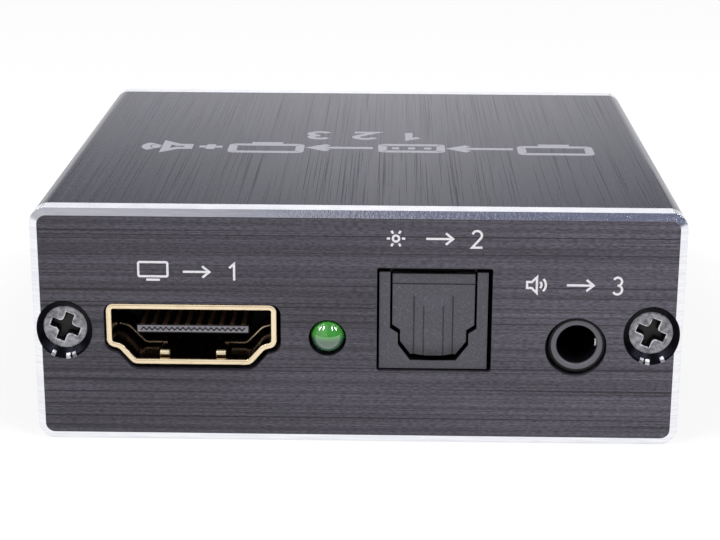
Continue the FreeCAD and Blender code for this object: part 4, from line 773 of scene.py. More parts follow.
class Finishes:
    """Every finish of the object, by what the real material is."""

    # Black anodised aluminium, brushed across and then cut bright at its bevel, painted paler towards the
    # right end as painted light
    plate = Brushed("anodised_aluminium_plate", "#403d46", 0.34, grain=Grain.ACROSS, long=110.0, short=120.0,
                    width=0.22, depth=0.6, contrast=0.36, grit=0.42, paler=0.45, band=EdgeBand())
    # The same metal and dye on the extrusion, brushed front to back
    sleeve = Brushed("anodised_aluminium_sleeve", "#2d2c34", 0.2, grain=Grain.ALONG, long=40.0, short=26.0,
                     width=0.115, depth=0.4, contrast=0.42, satin=0.05, scratch_rough=0.34, faint=0.6)
    # Zinc plated steel, passivated black, with a face rubbed by the driver, a painted highlight on its edges
    # and its recess painted black, partly as shade
    screw = DrivenScrew("black_zinc_screw_steel", "#8b8b90", 0.5)
    # Brass plated with gold: pale and bright where it faces the light, and painted a dark brown deeper in the
    # mouth as shade
    gold_shell = Plated("gold_plated_brass_shell", "#f5e1c0", 0.2, edge=0.1, tarnish="#e3c091", patch=2.0,
                        inside="#6b4a30")
    # Phosphor bronze with a flash of gold: satin, and redder where the flash is thin
    contacts = Plated("gold_flashed_contacts", "#f2c8aa", 0.45, tarnish="#a87c62", patch=0.6, relief=0.0)
    # Stamped spring fingers and stops, gold over nickel
    spring_gold = Plated("gold_over_nickel_springs", "#f3e2bd", 0.25, tarnish="#b98f5e", patch=0.5)
    # The ends of the sprung fingers, rubbed satin by plugs
    finger_gold = Plated("rubbed_gold_finger_tips", "#fff2d2", 0.5, tarnish="#e6c894", patch=0.4)
    # A spring contact's tip, painted near white as a glint in the dark of the bore
    contact_tip = Ink("rubbed_contact_tip", "#fafafa", 0.3, thin="#e4e4e2")
    # Copper alloy dipped in tin: duller and greyer
    tinned = Plated("tinned_leads", "#c9c9c6", 0.35, tarnish="#8b8b88", patch=0.5)
    # Drawn spring wire: grey, with a soft shine
    spring_steel = Plated("drawn_spring_steel", "#a9aaad", 0.3, tarnish="#6d6d70", patch=0.4)
    # The same wire, blackened, as the shutter's pin
    black_pin = Plated("blackened_pin_wire", "#2b2b2e", 0.5, tarnish="#18181a", patch=0.4)
    # Nickel plated drawn can: bright and slightly yellow
    nickel = Plated("nickel_plated_can", "#c4c2bd", 0.22, tarnish="#8f8c86", patch=2.0)
    # Aluminium can, drawn and left satin
    can = Plated("drawn_aluminium_can", "#d2d3d5", 0.35, tarnish="#a5a6a8", patch=2.0)
    # Heat-resistant nylon, black and nearly matt
    nylon = Moulded("black_moulded_nylon", "#131215", 0.42, gloss=0.14, pale="#242327")
    # ABS of the optical socket's shutter, a dark grey with a satin texture and painted shade at its foot
    abs_grey = Moulded("dark_grey_moulded_abs", "#44424a", 0.45, pit=0.14, pale="#77757d", foot=9.5)
    # The same ABS as the optical socket's body, painted black inside its opening as shade
    abs_block = Moulded("dark_grey_moulded_abs_block", "#434149", 0.45, pit=0.14, pale="#75737b",
                        mouth=25.93)
    # ABS of the audio socket's collar, a shade paler
    abs_collar = Moulded("grey_moulded_abs_collar", "#57555d", 0.45, pit=0.14, pale="#75737b")
    # Glass-filled tongue of a video socket, a pale grey over its front
    tongue = Moulded("glass_filled_tongue", "#87858e", 0.4, pit=0.12, pale="#b6b3ba")
    # Chip packages, matt epoxy with fine filler
    package = Moulded("chip_epoxy", "#1b1b1d", 0.6, pit=0.06, pale="#333336")
    # Pressed ferrite, dull and slightly grainy
    ferrite = Moulded("pressed_ferrite", "#26262a", 0.55, pit=0.15, pale="#3c3c42")
    # Fired ceramic of the chip capacitors: tan and matt
    ceramic = Moulded("fired_ceramic", "#a58a63", 0.5, pit=0.2, pale="#c2aa86")
    # Green solder mask over copper tracks: glossy, and paler over the copper
    board = Board("green_solder_mask", "#0a2a16", 0.35, track="#16482a")
    # Green dyed epoxy of the status lamp, painted brighter at its crown as light from above
    green_lens = Lens("green_dyed_epoxy", "#3f9c30", 0.08, deep="#24583a", skin=1.95, lit=(9.6, 10.2))
    # Clear epoxy of the light source, a little grey where it is thick
    clear_lens = Lens("clear_epoxy", "#c8d0d4", 0.1, deep="#8d989e", clear=0.7, skin=1.5)
    # White and light grey epoxy inks, matt, and greyer where they are thin
    white_ink = Ink("white_screen_ink", "#dcdade", 0.5)
    grey_ink = Ink("light_grey_screen_ink", "#a9a8b0", 0.4, thin="#8c8b92")


def join(*shells: Shell) -> Shell:
    """Put several shells together.

    Args:
        shells: The points and faces of each.

    Returns:
        All the points, and all the faces with their point numbers shifted.
    """
    counts = np.cumsum([0] + [len(points) for points, _ in shells])
    return (np.vstack([points for points, _ in shells]),
            np.vstack([faces + count for (_, faces), count in zip(shells, counts)]))


def grid_faces(rows: int, columns: int, closed_rows: bool = False, closed_columns: bool = False) -> Array:
    """The four-sided faces of a grid of points that is numbered row by row.

    Args:
        rows: How many rows of points there are.
        columns: How many points a row has.
        closed_rows: Whether the last row joins the first.
        closed_columns: Whether each row's last point joins its first.

    Returns:
        The faces, one row of four point numbers each.
    """
    row = np.arange(rows if closed_rows else rows - 1)[:, None]
    column = np.arange(columns if closed_columns else columns - 1)[None, :]
    next_row, next_column = (row + 1) % rows, (column + 1) % columns
    corners = [row * columns + column, row * columns + next_column,
               next_row * columns + next_column, next_row * columns + column]
    return np.stack(np.broadcast_arrays(*corners), axis=-1).reshape(-1, 4)


def arc(u: float, v: float, radius: float, start: float, end: float, count: int = 13) -> Array:
    """Points of an arc about (u, v): the angles run evenly from start to end, in degrees."""
    angle = np.radians(np.linspace(start, end, count))
    return np.stack([u + radius * np.cos(angle), v + radius * np.sin(angle)], axis=1)


def rounded(corners: Array, radii: Array, steps: int = 7, closed: bool = True) -> tuple[Array, Array]:
    """A path through corners that are each rounded by an arc.

    An arc starts before its corner by the radius times the tangent of half the turn. Its centre lies at
    the radius to the left of that start, or to the right where the path turns right, and its points are
    the start turned about the centre by even shares of the turn.

    Args:
        corners: The corners (u, v), one row each.
        radii: The radius at each corner.
        steps: How many points an arc has.
        closed: Whether the last corner leads on to the first. An open path keeps its two ends.

    Returns:
        The path's points, and its direction at each of them.
    """
    ahead = np.roll(corners, -1, axis=0) - corners
    ahead /= np.linalg.norm(ahead, axis=1, keepdims=True)
    before = np.roll(ahead, 1, axis=0)
    turn = np.arctan2(before[:, 0] * ahead[:, 1] - before[:, 1] * ahead[:, 0], np.sum(before * ahead, axis=1))
    side = np.sign(turn)[:, None]
    left = np.stack([-before[:, 1], before[:, 0]], axis=1)
    start = corners - before * (radii * np.tan(np.abs(turn) / 2))[:, None]
    centre = start + side * radii[:, None] * left
    angle = turn[:, None] * np.linspace(0, 1, steps)[None, :]
    way = np.stack([before[:, :1] * np.cos(angle) - before[:, 1:] * np.sin(angle),
                    before[:, :1] * np.sin(angle) + before[:, 1:] * np.cos(angle)], axis=2)
    leftward = np.stack([-way[:, :, 1], way[:, :, 0]], axis=2)
    points = centre[:, None, :] - side[:, :, None] * radii[:, None, None] * leftward
    if closed:
        return points.reshape(-1, 2), way.reshape(-1, 2)
    inner, ways = points[1:-1].reshape(-1, 2), way[1:-1].reshape(-1, 2)
    return np.vstack([corners[:1], inner, corners[-1:]]), np.vstack([ahead[:1], ways, ahead[-2:-1]])


def sweep(path: Array, ways: Array, profile: Array) -> Shell:
    """A section carried along a flat open path.

    A point of the section (out, depth) lies at the path's point plus out times the unit vector to the
    right of the path's direction, at that depth. A fan about the section's first point closes each end.

    Args:
        path: The path's points (u, v).
        ways: Its directions.
        profile: The section's points (out, depth), as a closed loop.

    Returns:
        The points (u, depth, v) and the faces.
    """
    right = np.stack([ways[:, 1], -ways[:, 0]], axis=1)
    flat = path[:, None, :] + right[:, None, :] * profile[None, :, :1]
    depth = np.broadcast_to(profile[None, :, 1], flat.shape[:2])
    points = np.stack([flat[:, :, 0], depth, flat[:, :, 1]], axis=2).reshape(-1, 3)
    count = len(profile)
    fan = np.arange(1, count - 1)
    first = np.stack([0 * fan, 0 * fan, fan, fan + 1], axis=1)
    last = first + (len(path) - 1) * count
    return points, np.vstack([grid_faces(len(path), count, False, True), first[:, ::-1], last])


def revolve(profile: Array, count: int = 64) -> Shell:
    """A profile turned about the depth axis: x = r cos(a), z = r sin(a) for a from 0 to a full turn.

    Args:
        profile: The profile's points (radius, depth).
        count: How many steps the turn has.

    Returns:
        The points (x, depth, z) and the faces.
    """
    angle = np.linspace(0, 2 * np.pi, count, endpoint=False)
    radius, depth = profile[:, :1], np.broadcast_to(profile[:, 1:], (len(profile), count))
    points = np.stack([radius * np.cos(angle), depth, radius * np.sin(angle)], axis=2)
    return points.reshape(-1, 3), grid_faces(len(profile), count, False, True)


def on_end(points: Array, end: End, origin: Sequence[float]) -> Array:
    """Set points drawn in an end's own frame, in mm, on that end of the box.

    Args:
        points: The points (x to the right as seen from outside, depth into the box, z up), in mm.
        end: The end.
        origin: Where the frame's origin lies in the part's frame, in metres.

    Returns:
        The points in the part's frame, in metres.
    """
    return points * MM * np.array([end.value, end.value, 1]) + np.array(origin)


def front_of(node: str) -> tuple[float, float, float]:
    """The middle of a front node's face, in metres."""
    low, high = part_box(node)
    return (low.x + high.x) / 2, low.y, (low.z + high.z) / 2


def slot_of(node: str) -> str:
    """The record's material slot for a node."""
    return next(row["material_slot"] for row in frame["record"]["subparts"] if row["node"] == node)


def weld(mesh: bpy.types.Mesh, angle: float, outwards: bool = False) -> None:
    """Merge a mesh's double points, and shade its curves smooth.

    Args:
        mesh: The mesh.
        angle: Edges sharper than this stay sharp, in degrees.
        outwards: Whether its faces are turned outwards too.
    """
    work = bmesh.new()
    work.from_mesh(mesh)
    bmesh.ops.remove_doubles(work, verts=work.verts, dist=DOUBLE)
    if outwards:
        bmesh.ops.recalc_face_normals(work, faces=work.faces)
    work.to_mesh(mesh)
    work.free()
    mesh.shade_smooth()
    mesh.set_sharp_from_angle(angle=math.radians(angle))


def show(name: str, mesh: bpy.types.Mesh, near: str, stands_for: bool) -> None:
    """Put a mesh into the scene as a piece.

    Args:
        name: The piece's name.
        mesh: Its mesh.
        near: The node whose body it rides on, and whose material slot is looked up.
        stands_for: Whether it replaces that node.
    """
    piece = bpy.data.objects.new(name, mesh)
    bpy.context.scene.collection.objects.link(piece)
    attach(piece, frame["nodes"][near]["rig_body"])
    if stands_for:
        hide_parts(near)
    slot_of(near)


def dress(finish: Finish, *nodes: str, smooth: bool = False) -> None:
    """Give nodes a finish.

    Args:
        finish: The finish.
        nodes: The nodes' names.
        smooth: Whether a copy stands in for each node, with its loose triangles joined and its curves
            shaded smooth.
    """
    for node in nodes:
        mesh = frame["nodes"][node].data
        if smooth:
            mesh = mesh.copy()
            mesh.name = node + "_surface"
            mesh.attributes.remove(mesh.attributes["custom_normal"])
            weld(mesh, 20.0)
            show(node + "_dressed", mesh, node, True)
        mesh.materials.clear()
        mesh.materials.append(finish.make())
        LOG.info("%s has the finish %s", node, finish.name)


def new_piece(name: str, shell: Shell, finish: Finish, near: str, stands_for: bool = False,
              angle: float = 30.0) -> None:
    """Make a mesh piece.

    Args:
        name: The piece's name.
        shell: Its points and faces, in metres in the part's frame.
        finish: Its finish.
        near: The node whose body it rides on, and whose material slot is looked up.
        stands_for: Whether it replaces that node.
        angle: Edges sharper than this stay sharp, in degrees.
    """
    points, faces = shell
    mesh = bpy.data.meshes.new(name)
    mesh.from_pydata(points.tolist(), [], [list(dict.fromkeys(face)) for face in faces.tolist()])
    mesh.materials.append(finish.make())
    weld(mesh, angle, True)
    show(name, mesh, near, stands_for)
    LOG.info("%s has the finish %s", name, finish.name)


def ribbon(path: Array, width: float, low: float, high: float) -> Shell:
    """A flat band with square section carried along a path.

    Each point of the path gets four corners: half the width to each side, at the low and the high level.
    At a bend the side step lies along the mitre and is lengthened by one over the cosine of half the turn,
    at a sharp one to no more than about three times its length.

    Args:
        path: The path's points (u, v), one row each. A path that ends where it starts is closed.
        width: The band's width.
        low: The level of its underside.
        high: The level of its top.

    Returns:
        The points (u, v, level) and the faces.
    """
    closed = bool(np.allclose(path[0], path[-1]))
    spots = path[:-1] if closed else path
    step = np.diff(path, axis=0)
    step /= np.linalg.norm(step, axis=1, keepdims=True)
    before = np.roll(step, 1, axis=0) if closed else np.vstack([step[:1], step])
    after = step if closed else np.vstack([step, step[-1:]])
    side = np.stack([-(before + after)[:, 1], (before + after)[:, 0]], axis=1)
    side /= np.linalg.norm(side, axis=1, keepdims=True)
    stretch = np.sum(side * np.stack([-after[:, 1], after[:, 0]], axis=1), axis=1, keepdims=True)
    side *= width / 2 / np.maximum(stretch, 0.35)
    count = len(spots)
    corners = np.stack([
        np.column_stack([spots + sign * side, np.full(count, level)])
        for sign, level in ((1, low), (-1, low), (-1, high), (1, high))
    ], axis=1)
    quads = grid_faces(count, 4, closed, True)
    if not closed:
        last = (count - 1) * 4
        quads = np.vstack([quads, [[3, 2, 1, 0], [last, last + 1, last + 2, last + 3]]])
    return corners.reshape(-1, 3), quads


def box_path(u: float, v: float, width: float, height: float, corner: float) -> Array:
    """A closed rounded rectangle.

    Args:
        u: Its middle across.
        v: Its middle's height.
        width: Its width.
        height: Its height.
        corner: Its corner radius.

    Returns:
        The path's points, anticlockwise from the lower right corner, which ends where it starts.
    """
    signs = np.array([(1, -1), (1, 1), (-1, 1), (-1, -1)])
    corners = np.array([u, v]) + signs * np.array([width / 2, height / 2])
    path = rounded(corners, np.full(4, corner), 5)[0]
    return np.vstack([path, path[:1]])


class Sign:
    """Generic marks, each a list of stroke paths about its own middle, one unit high."""

    @staticmethod
    def screen() -> list[Array]:
        """A screen on its foot."""
        return [box_path(0, 0.12, 1.5, 0.76, 0.08), np.array([(-0.35, -0.44), (0.35, -0.44)])]

    @staticmethod
    def arrow() -> list[Array]:
        """An arrow to the right."""
        return [np.array([(-0.7, 0.0), (0.58, 0.0)]), np.array([(0.3, 0.3), (0.66, 0.0), (0.3, -0.3)])]

    @staticmethod
    def one() -> list[Array]:
        """The numeral 1."""
        return [np.array([(-0.2, 0.22), (0.05, 0.44), (0.05, -0.44)])]

    @staticmethod
    def two() -> list[Array]:
        """The numeral 2: an arc over the top, a slant and a foot."""
        top = arc(0.0, 0.2, 0.24, 165, -35, 11)
        return [np.vstack([top, [(-0.24, -0.44), (0.28, -0.44)]])]

    @staticmethod
    def three() -> list[Array]:
        """The numeral 3: two bows that meet in the middle."""
        return [arc(0.0, 0.22, 0.22, 150, -90, 13), arc(0.0, -0.22, 0.24, 90, -150, 13)]

    @staticmethod
    def light() -> list[Array]:
        """A light source: a ring and six rays."""
        rays = [np.outer((0.3, 0.47), (math.cos(a), math.sin(a))) for a in np.radians(range(0, 360, 60))]
        return [arc(0, 0, 0.16, 0, 360, 17), *rays]

    @staticmethod
    def sound() -> list[Array]:
        """A loudspeaker with two waves.

        Returns:
            Its stroke paths.
        """
        horn = np.array([(-0.5, 0.16), (-0.26, 0.16), (0.0, 0.42), (0.0, -0.42), (-0.26, -0.16),
                         (-0.5, -0.16), (-0.5, 0.16)])
        return [horn, arc(0.0, 0.0, 0.24, -45, 45, 7), arc(0.0, 0.0, 0.46, -45, 45, 9)]

    @staticmethod
    def box() -> list[Array]:
        """The box itself: a plain outline with a row of dots."""
        dots = [np.array([(u - 0.08, 0.0), (u + 0.08, 0.0)]) for u in (-0.36, 0.0, 0.36)]
        return [box_path(0, 0, 1.3, 0.7, 0.06), *dots]

    @staticmethod
    def plus() -> list[Array]:
        """A plus sign."""
        return [np.array([(-0.26, 0.0), (0.26, 0.0)]), np.array([(0.0, -0.26), (0.0, 0.26)])]


@dataclass
class Legend:
    """A line of generic marks in screen ink, where the real box has words.

    Attributes:
        name: The piece's name.
        marks: The marks, in reading order, each with its place along the line in mm.
        middle: The line's middle, in metres.
        way: The face that it lies on.
        height: The marks' height, in mm.
        stroke: The width of a stroke, in mm.
        finish: The ink.
        stretch: How much wider than high a mark is drawn.
        ink_thick: How far the ink stands over the face, in mm.
        ink_sink: How far it reaches into the face, in mm.
        ink_step: How far a stroke lies under the one before it, so that crossing strokes never share a
            plane, in mm.
    """
    name: str
    marks: Sequence[tuple[Callable[[], list[Array]], float]]
    middle: Vector
    way: Way
    height: float = 1.7
    stroke: float = 0.2
    finish: Finish = Finishes.white_ink
    stretch: float = 1.0
    ink_thick: float = 0.005
    ink_sink: float = 0.01
    ink_step: float = 0.001

    def build(self) -> None:
        """Make the line as one piece on the face."""
        size = np.array([self.height * self.stretch, self.height])
        bands = [ribbon((path * size + np.array([place, 0.0])) * MM, self.stroke * MM, -self.ink_sink * MM,
                        (self.ink_thick - self.ink_step * (order % 4)) * MM)
                 for mark, place in self.marks for order, path in enumerate(mark())]
        flat, faces = join(*bands)
        near = "front_plate" if self.way is Way.FRONT else "housing_sleeve"
        new_piece(self.name, (flat @ np.array(self.way.value) + np.array(self.middle), faces), self.finish,
                  near)


@dataclass
class Printing:
    """The marks on the output face, over each socket, and on the top, read from behind.

    Attributes:
        rise: How far a legend's middle lies over its socket, in mm.
        shifts: How far each legend lies to the side of its socket, in mm.
        top_places: How far behind the output face the two lines on the top lie, in mm.
    """
    rise: float = 3.1
    shifts: tuple[float, float, float] = (0.0, -0.15, -0.5)
    top_places: tuple[float, float] = (23.75, 29.2)

    def build(self) -> None:
        """Make every legend."""
        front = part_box("front_plate")[0].y
        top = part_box("housing_sleeve")[1].z
        rows = (("legend_video", "video_out_shell", Sign.screen, Sign.one),
                ("legend_optical", "optical_housing", Sign.light, Sign.two),
                ("legend_audio", "audio_jack_body", Sign.sound, Sign.three))
        for (name, node, sign, numeral), shift in zip(rows, self.shifts):
            low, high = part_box(node)
            middle = Vector(((low.x + high.x) / 2 + shift * MM, front, high.z + self.rise * MM))
            Legend(name, ((sign, -3.2), (Sign.arrow, 0.6), (numeral, 3.8)), middle, Way.FRONT).build()
        big, small = (front + place * MM for place in self.top_places)
        Legend("legend_top", ((Sign.screen, -18.9), (Sign.arrow, -11.7), (Sign.box, -4.8), (Sign.arrow, 2.1),
                              (Sign.screen, 9.5), (Sign.plus, 15.0), (Sign.sound, 19.4)),
               Vector((0, big, top)), Way.TOP, 4.0, 0.85, Finishes.grey_ink, 1.1).build()
        Legend("legend_top_numbers", ((Sign.one, -4.6), (Sign.two, 0.0), (Sign.three, 4.6)),
               Vector((0.15 * MM, small, top)), Way.TOP, 3.3, 0.75, Finishes.grey_ink, 1.2).build()


@dataclass
class Screws:
    """A plate's two countersunk screws.

    Attributes:
        end: The end that they hold.
        arm: Half the length of the cross recess, in mm.
        half: Half the width of an arm, in mm.
        corner: How much the arms' ends are rounded, in mm.
        soft: How much the recess's inner corners are rounded, in mm.
        rim: The width of the worn edge round the recess, in mm.
        rim_deep: How deep that edge falls, in mm.
        wall: The width of the recess's sloping wall, in mm.
        deep: The recess's depth at its arms, in mm.
        fall: How much deeper it is in its middle, in mm.
        turn: How far the cross is turned anticlockwise, in degrees.
        head: The head's radius, in mm.
        edge: The radius of the head's rounded edge, in mm.
        shank: The shank's radius, in mm.
        start: How deep the thread starts, in mm.
        length: The whole length, in mm.
        thread: The thread's depth, in mm.
        pitch: Its pitch, in mm.
    """
    end: End
    arm: float = 1.45
    half: float = 0.52
    corner: float = 0.12
    soft: float = 0.4
    rim: float = 0.13
    rim_deep: float = 0.06
    wall: float = 0.1
    deep: float = 0.75
    fall: float = 0.35
    turn: float = -22.0
    head: float = 1.95
    edge: float = 0.13
    shank: float = 1.0
    start: float = 0.9
    length: float = 8.0
    thread: float = 0.08
    pitch: float = 0.4

    def build(self) -> None:
        """Make the pair as one piece that stands for the node."""
        node = f"{self.end.name.lower()}_plate_screws"
        low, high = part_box(node)
        face = low.y if self.end is End.FRONT else high.y
        axis = high.x - self.head * MM
        points, faces = join(self.face_and_cone(), self.threaded())
        pair = [(on_end(points, self.end, (side * axis, face, (low.z + high.z) / 2)), faces)
                for side in (-1, 1)]
        new_piece(node + "_turned", join(*pair), Finishes.screw, node, True, 35.0)

    def recess(self, x: Array, z: Array) -> Array:
        """The recess's depth at points of the head's face.

        The distance to a bar is the length of what sticks out past its half sizes, or less than nothing
        inside it. The cross is the smaller of two bars' distances, blended where they are close. The depth
        climbs smoothly over the wall's width, and the floor falls towards the middle.

        Args:
            x: The points' places across.
            z: The points' heights.

        Returns:
            The depths.
        """
        turned = math.radians(self.turn)
        across = x * math.cos(turned) + z * math.sin(turned)
        up = z * math.cos(turned) - x * math.sin(turned)
        bars = []
        for u, v in ((across, up), (up, across)):
            past_u, past_v = np.abs(u) - self.arm + self.corner, np.abs(v) - self.half + self.corner
            outside = np.hypot(np.maximum(past_u, 0), np.maximum(past_v, 0))
            bars.append(outside + np.minimum(np.maximum(past_u, past_v), 0) - self.corner)
        mixed = np.maximum(self.soft - np.abs(bars[0] - bars[1]), 0) / self.soft
        inside = -(np.minimum(bars[0], bars[1]) - mixed ** 2 * self.soft / 4)
        share = np.clip((inside - self.rim) / self.wall, 0, 1)
        floor = self.deep + self.fall * np.clip(1 - np.hypot(x, z) / self.arm, 0, 1)
        return self.rim_deep * np.clip(inside / self.rim, 0, 1) + share * share * (3 - 2 * share) * floor

    def face_and_cone(self) -> Shell:
        """The head: its face with the recess pressed in, a rounded rim, and the cone below.

        Returns:
            The points and the faces, in the end's frame about the screw's axis.
        """
        disc = np.linspace(0.0, self.head - self.edge, 64)
        rim = arc(self.head - self.edge, self.edge, self.edge, -90, 0, 7)[1:]
        cone = np.array([(self.head, self.edge + 0.02), (self.shank, self.head - self.shank + 0.05),
                         (0.0, self.start + 0.2)])
        profile = np.vstack([np.column_stack([disc, 0 * disc]), rim, cone])
        points, faces = revolve(profile, 192)
        on_face = points[:, 1] == 0
        points[on_face, 1] = self.recess(points[on_face, 0], points[on_face, 2])
        return points, faces

    def threaded(self) -> Shell:
        """The threaded shank: its radius rises and falls with the sine of depth over pitch less the turn.

        Returns:
            The points and the faces, in the end's frame about the screw's axis.
        """
        depth = np.linspace(self.start, self.length - self.shank, 100)
        profile = np.vstack([[0.0, self.start], np.column_stack([np.full(100, self.shank), depth]),
                             [0.3, self.length - 0.1], [0.0, self.length]])
        points, faces = revolve(profile, 20)
        radius = np.hypot(points[:, 0], points[:, 2])
        angle = np.arctan2(points[:, 2], points[:, 0])
        ridge = np.where(radius > 0.9 * self.shank,
                         self.thread * (np.sin(2 * np.pi * points[:, 1] / self.pitch - angle) - 1) / 2, 0)
        points[:, [0, 2]] *= (1 + ridge / np.maximum(radius, 0.1))[:, None]
        return points, faces


@dataclass
class Case:
    """The sleeve, the two plates and their screws."""

    def build(self) -> None:
        """Dress the case."""
        dress(Finishes.sleeve, "housing_sleeve", smooth=True)
        dress(Finishes.plate, "front_plate", "rear_plate", smooth=True)
        Screws(End.FRONT).build()
        Screws(End.REAR).build()


@dataclass
class VideoSocket:
    """A video socket: folded gold shell, black insulator, its tongue and gold contacts.

    Attributes:
        name: The start of its nodes' names.
        end: The end that it faces.
        width: The shell's outer width, in mm.
        height: Its outer height, in mm.
        ledge: How far each of its ledges reaches in from its side, in mm.
        ledge_rise: How far a ledge climbs on its way to the side, in mm.
        slant_width: The width of each of its slanting lower sides, in mm.
        slant_rise: Their height, in mm.
        wall: How thick it looks at its mouth, in mm.
        radii: Its corner radii from the foot of a slant up to the top, in mm.
        lip: The depth of the rounded rim, in mm.
        seam: The width of the seam under its middle, in mm.
        proud: How far the rim stands over the shell's own surface, in mm.
        soft: The radius that the rim's edges are rounded to, in mm.
        stop_depth: How deep the stops lie, in mm.
        stop_path: The path of the right stop from the middle out, across and up over the inner wall, in mm.
        stop_half: Half a stop's thickness, in mm.
        tongue_half: Half the tongue's width, in mm.
        tongue_level: The height of its underside over the shell's, in mm.
        tongue_thick: Its thickness, in mm.
        tongue_depth: How deep its front lies, in mm.
        tip_thick: The thickness of its cut front, in mm.
        tip_proud: How far that front stands out of the tongue, in mm.
        tooth_pitch: The width of a tooth of the zigzag in it, in mm.
        tooth_half: Half a tooth's height, in mm.
        tooth_stroke: The width of the zigzag's groove, in mm.
        tooth_thick: How far its dark line stands over the front, in mm.
        tooth_margin: How far inside the tongue's ends it ends, in mm.
        finger_spread: The spacing of the two lower sprung fingers, in mm.
        finger_width: A finger's width, in mm.
        finger_front: How deep its front lies, in mm.
        finger_rise: How high it stands over the shell's floor, in mm.
        block_back: How far behind its front the block at its end reaches, in mm.
        block_deep: The block's depth, in mm.
        block_foot: The height over the floor at which it starts, in mm.
        block_cut: How much less than the finger it rises from there, in mm.
        block_play: How much wider than the finger it is to either side, in mm.
    """
    name: str
    end: End
    width: float = 15.0
    height: float = 5.55
    ledge: float = 1.05
    ledge_rise: float = 0.25
    slant_width: float = 1.275
    slant_rise: float = 1.45
    wall: float = 0.45
    radii: tuple[float, float, float, float] = (0.9, 0.7, 0.75, 0.65)
    lip: float = 1.6
    seam: float = 0.05
    proud: float = 0.012
    soft: float = 0.2
    stop_depth: float = 3.8
    stop_path: tuple[tuple[float, float], ...] = ((2.6, 0.3), (4.55, 0.3), (6.0, 1.8), (6.9, 2.05))
    stop_half: float = 0.06
    tongue_half: float = 4.95
    tongue_level: float = 2.5
    tongue_thick: float = 0.8
    tongue_depth: float = 1.2
    tip_thick: float = 0.64
    tip_proud: float = 0.03
    tooth_pitch: float = 0.25
    tooth_half: float = 0.13
    tooth_stroke: float = 0.11
    tooth_thick: float = 0.02
    tooth_margin: float = 0.3
    finger_spread: float = 5.0
    finger_width: float = 0.9
    finger_front: float = 0.75
    finger_rise: float = 0.5
    block_back: float = 0.3
    block_deep: float = 0.34
    block_foot: float = 0.2
    block_cut: float = 0.14
    block_play: float = 0.01

    def build(self) -> None:
        """Dress the socket and add its rim, stops, tongue tip and finger tips."""
        dress(Finishes.gold_shell, self.name + "_shell", smooth=True)
        dress(Finishes.nylon, self.name + "_insulator", smooth=True)
        dress(Finishes.contacts, self.name + "_contacts")
        self.build_rim()
        self.build_stops()
        self.build_tongue_tip()
        self.build_teeth()
        self.build_finger_tips()

    def add_piece(self, name: str, shell: Shell, finish: Finish, near: str, angle: float = 30.0) -> None:
        """Set a shell into the socket as a piece.

        Args:
            name: The end of the piece's name.
            shell: Its points and faces, in mm from the middle of the socket's underside at its mouth.
            finish: Its finish.
            near: The end of the name of the node that carries it.
            angle: Edges sharper than this stay sharp, in degrees.
        """
        low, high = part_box(self.name + "_shell")
        mouth = low.y if self.end is End.FRONT else high.y
        origin = ((low.x + high.x) / 2, mouth, high.z - self.height * MM)
        new_piece(f"{self.name}_{name}", (on_end(shell[0], self.end, origin), shell[1]), finish,
                  f"{self.name}_{near}", angle=angle)

    def build_rim(self) -> None:
        """The rim: a rounded band as thick as the wall, open by a hair at the seam under its middle."""
        step = self.width / 2 - self.ledge
        right = np.array([(self.seam / 2, 0.0), (step - self.slant_width, 0.0), (step, self.slant_rise),
                          (self.width / 2, self.slant_rise + self.ledge_rise), (self.width / 2, self.height)])
        radii = np.array([0.0, *self.radii])
        path, ways = rounded(np.vstack([right, right[::-1] * np.array([-1, 1])]),
                             np.concatenate([radii, radii[::-1]]), 9, False)
        soft, inner = self.soft, -self.wall - self.proud
        profile = np.vstack([arc(self.proud - soft, soft - self.proud, soft, 0, -90, 6),
                             arc(inner + soft, soft - self.proud, soft, -90, -180, 6),
                             [(inner, self.lip), (self.proud, self.lip)]])
        self.add_piece("rim", sweep(path, ways, profile), Finishes.gold_shell, "shell")

    def build_stops(self) -> None:
        """The two stops pressed into the lower corners, which end the plug's travel."""
        corners = np.array(self.stop_path) + np.array([0.0, self.wall])
        half, front, back = self.stop_half, self.stop_depth - 0.05, self.stop_depth + 0.3
        profile = np.array([(-half, front), (half, front), (half, back), (-half, back)])
        path, ways = rounded(corners, np.array([0.0, 0.5, 0.6, 0.0]), 7, False)
        points, faces = sweep(path, ways, profile)
        both = join((points, faces), (points * np.array([-1, 1, 1]), faces))
        self.add_piece("stops", both, Finishes.spring_gold, "shell")

    def build_tongue_tip(self) -> None:
        """The tongue's cut front: a pale bar. Each of its rings is its outline drawn in by an inset."""
        half, front = self.tip_thick / 2, self.tongue_depth - self.tip_proud
        rings = []
        for inset, depth in ((0.0, 0.2), (0.0, 0.05), (0.05, 0.0), (half - 0.01, 0.0)):
            ring = box_path(0, self.tongue_level + self.tongue_thick / 2, 2 * (self.tongue_half - inset),
                            2 * (half - inset), 0.008)[:-1]
            rings.append(np.insert(ring, 1, front + depth, axis=1))
        points, count = np.vstack(rings), len(rings[0])
        cap = len(points) - count + np.arange(count)
        fan = np.stack([0 * cap[1:-1] + cap[0], 0 * cap[1:-1] + cap[0], cap[1:-1], cap[2:]], axis=1)
        faces = np.vstack([grid_faces(len(rings), count, False, True), fan])
        self.add_piece("tongue_tip", (points, faces), Finishes.tongue, "insulator", 50.0)

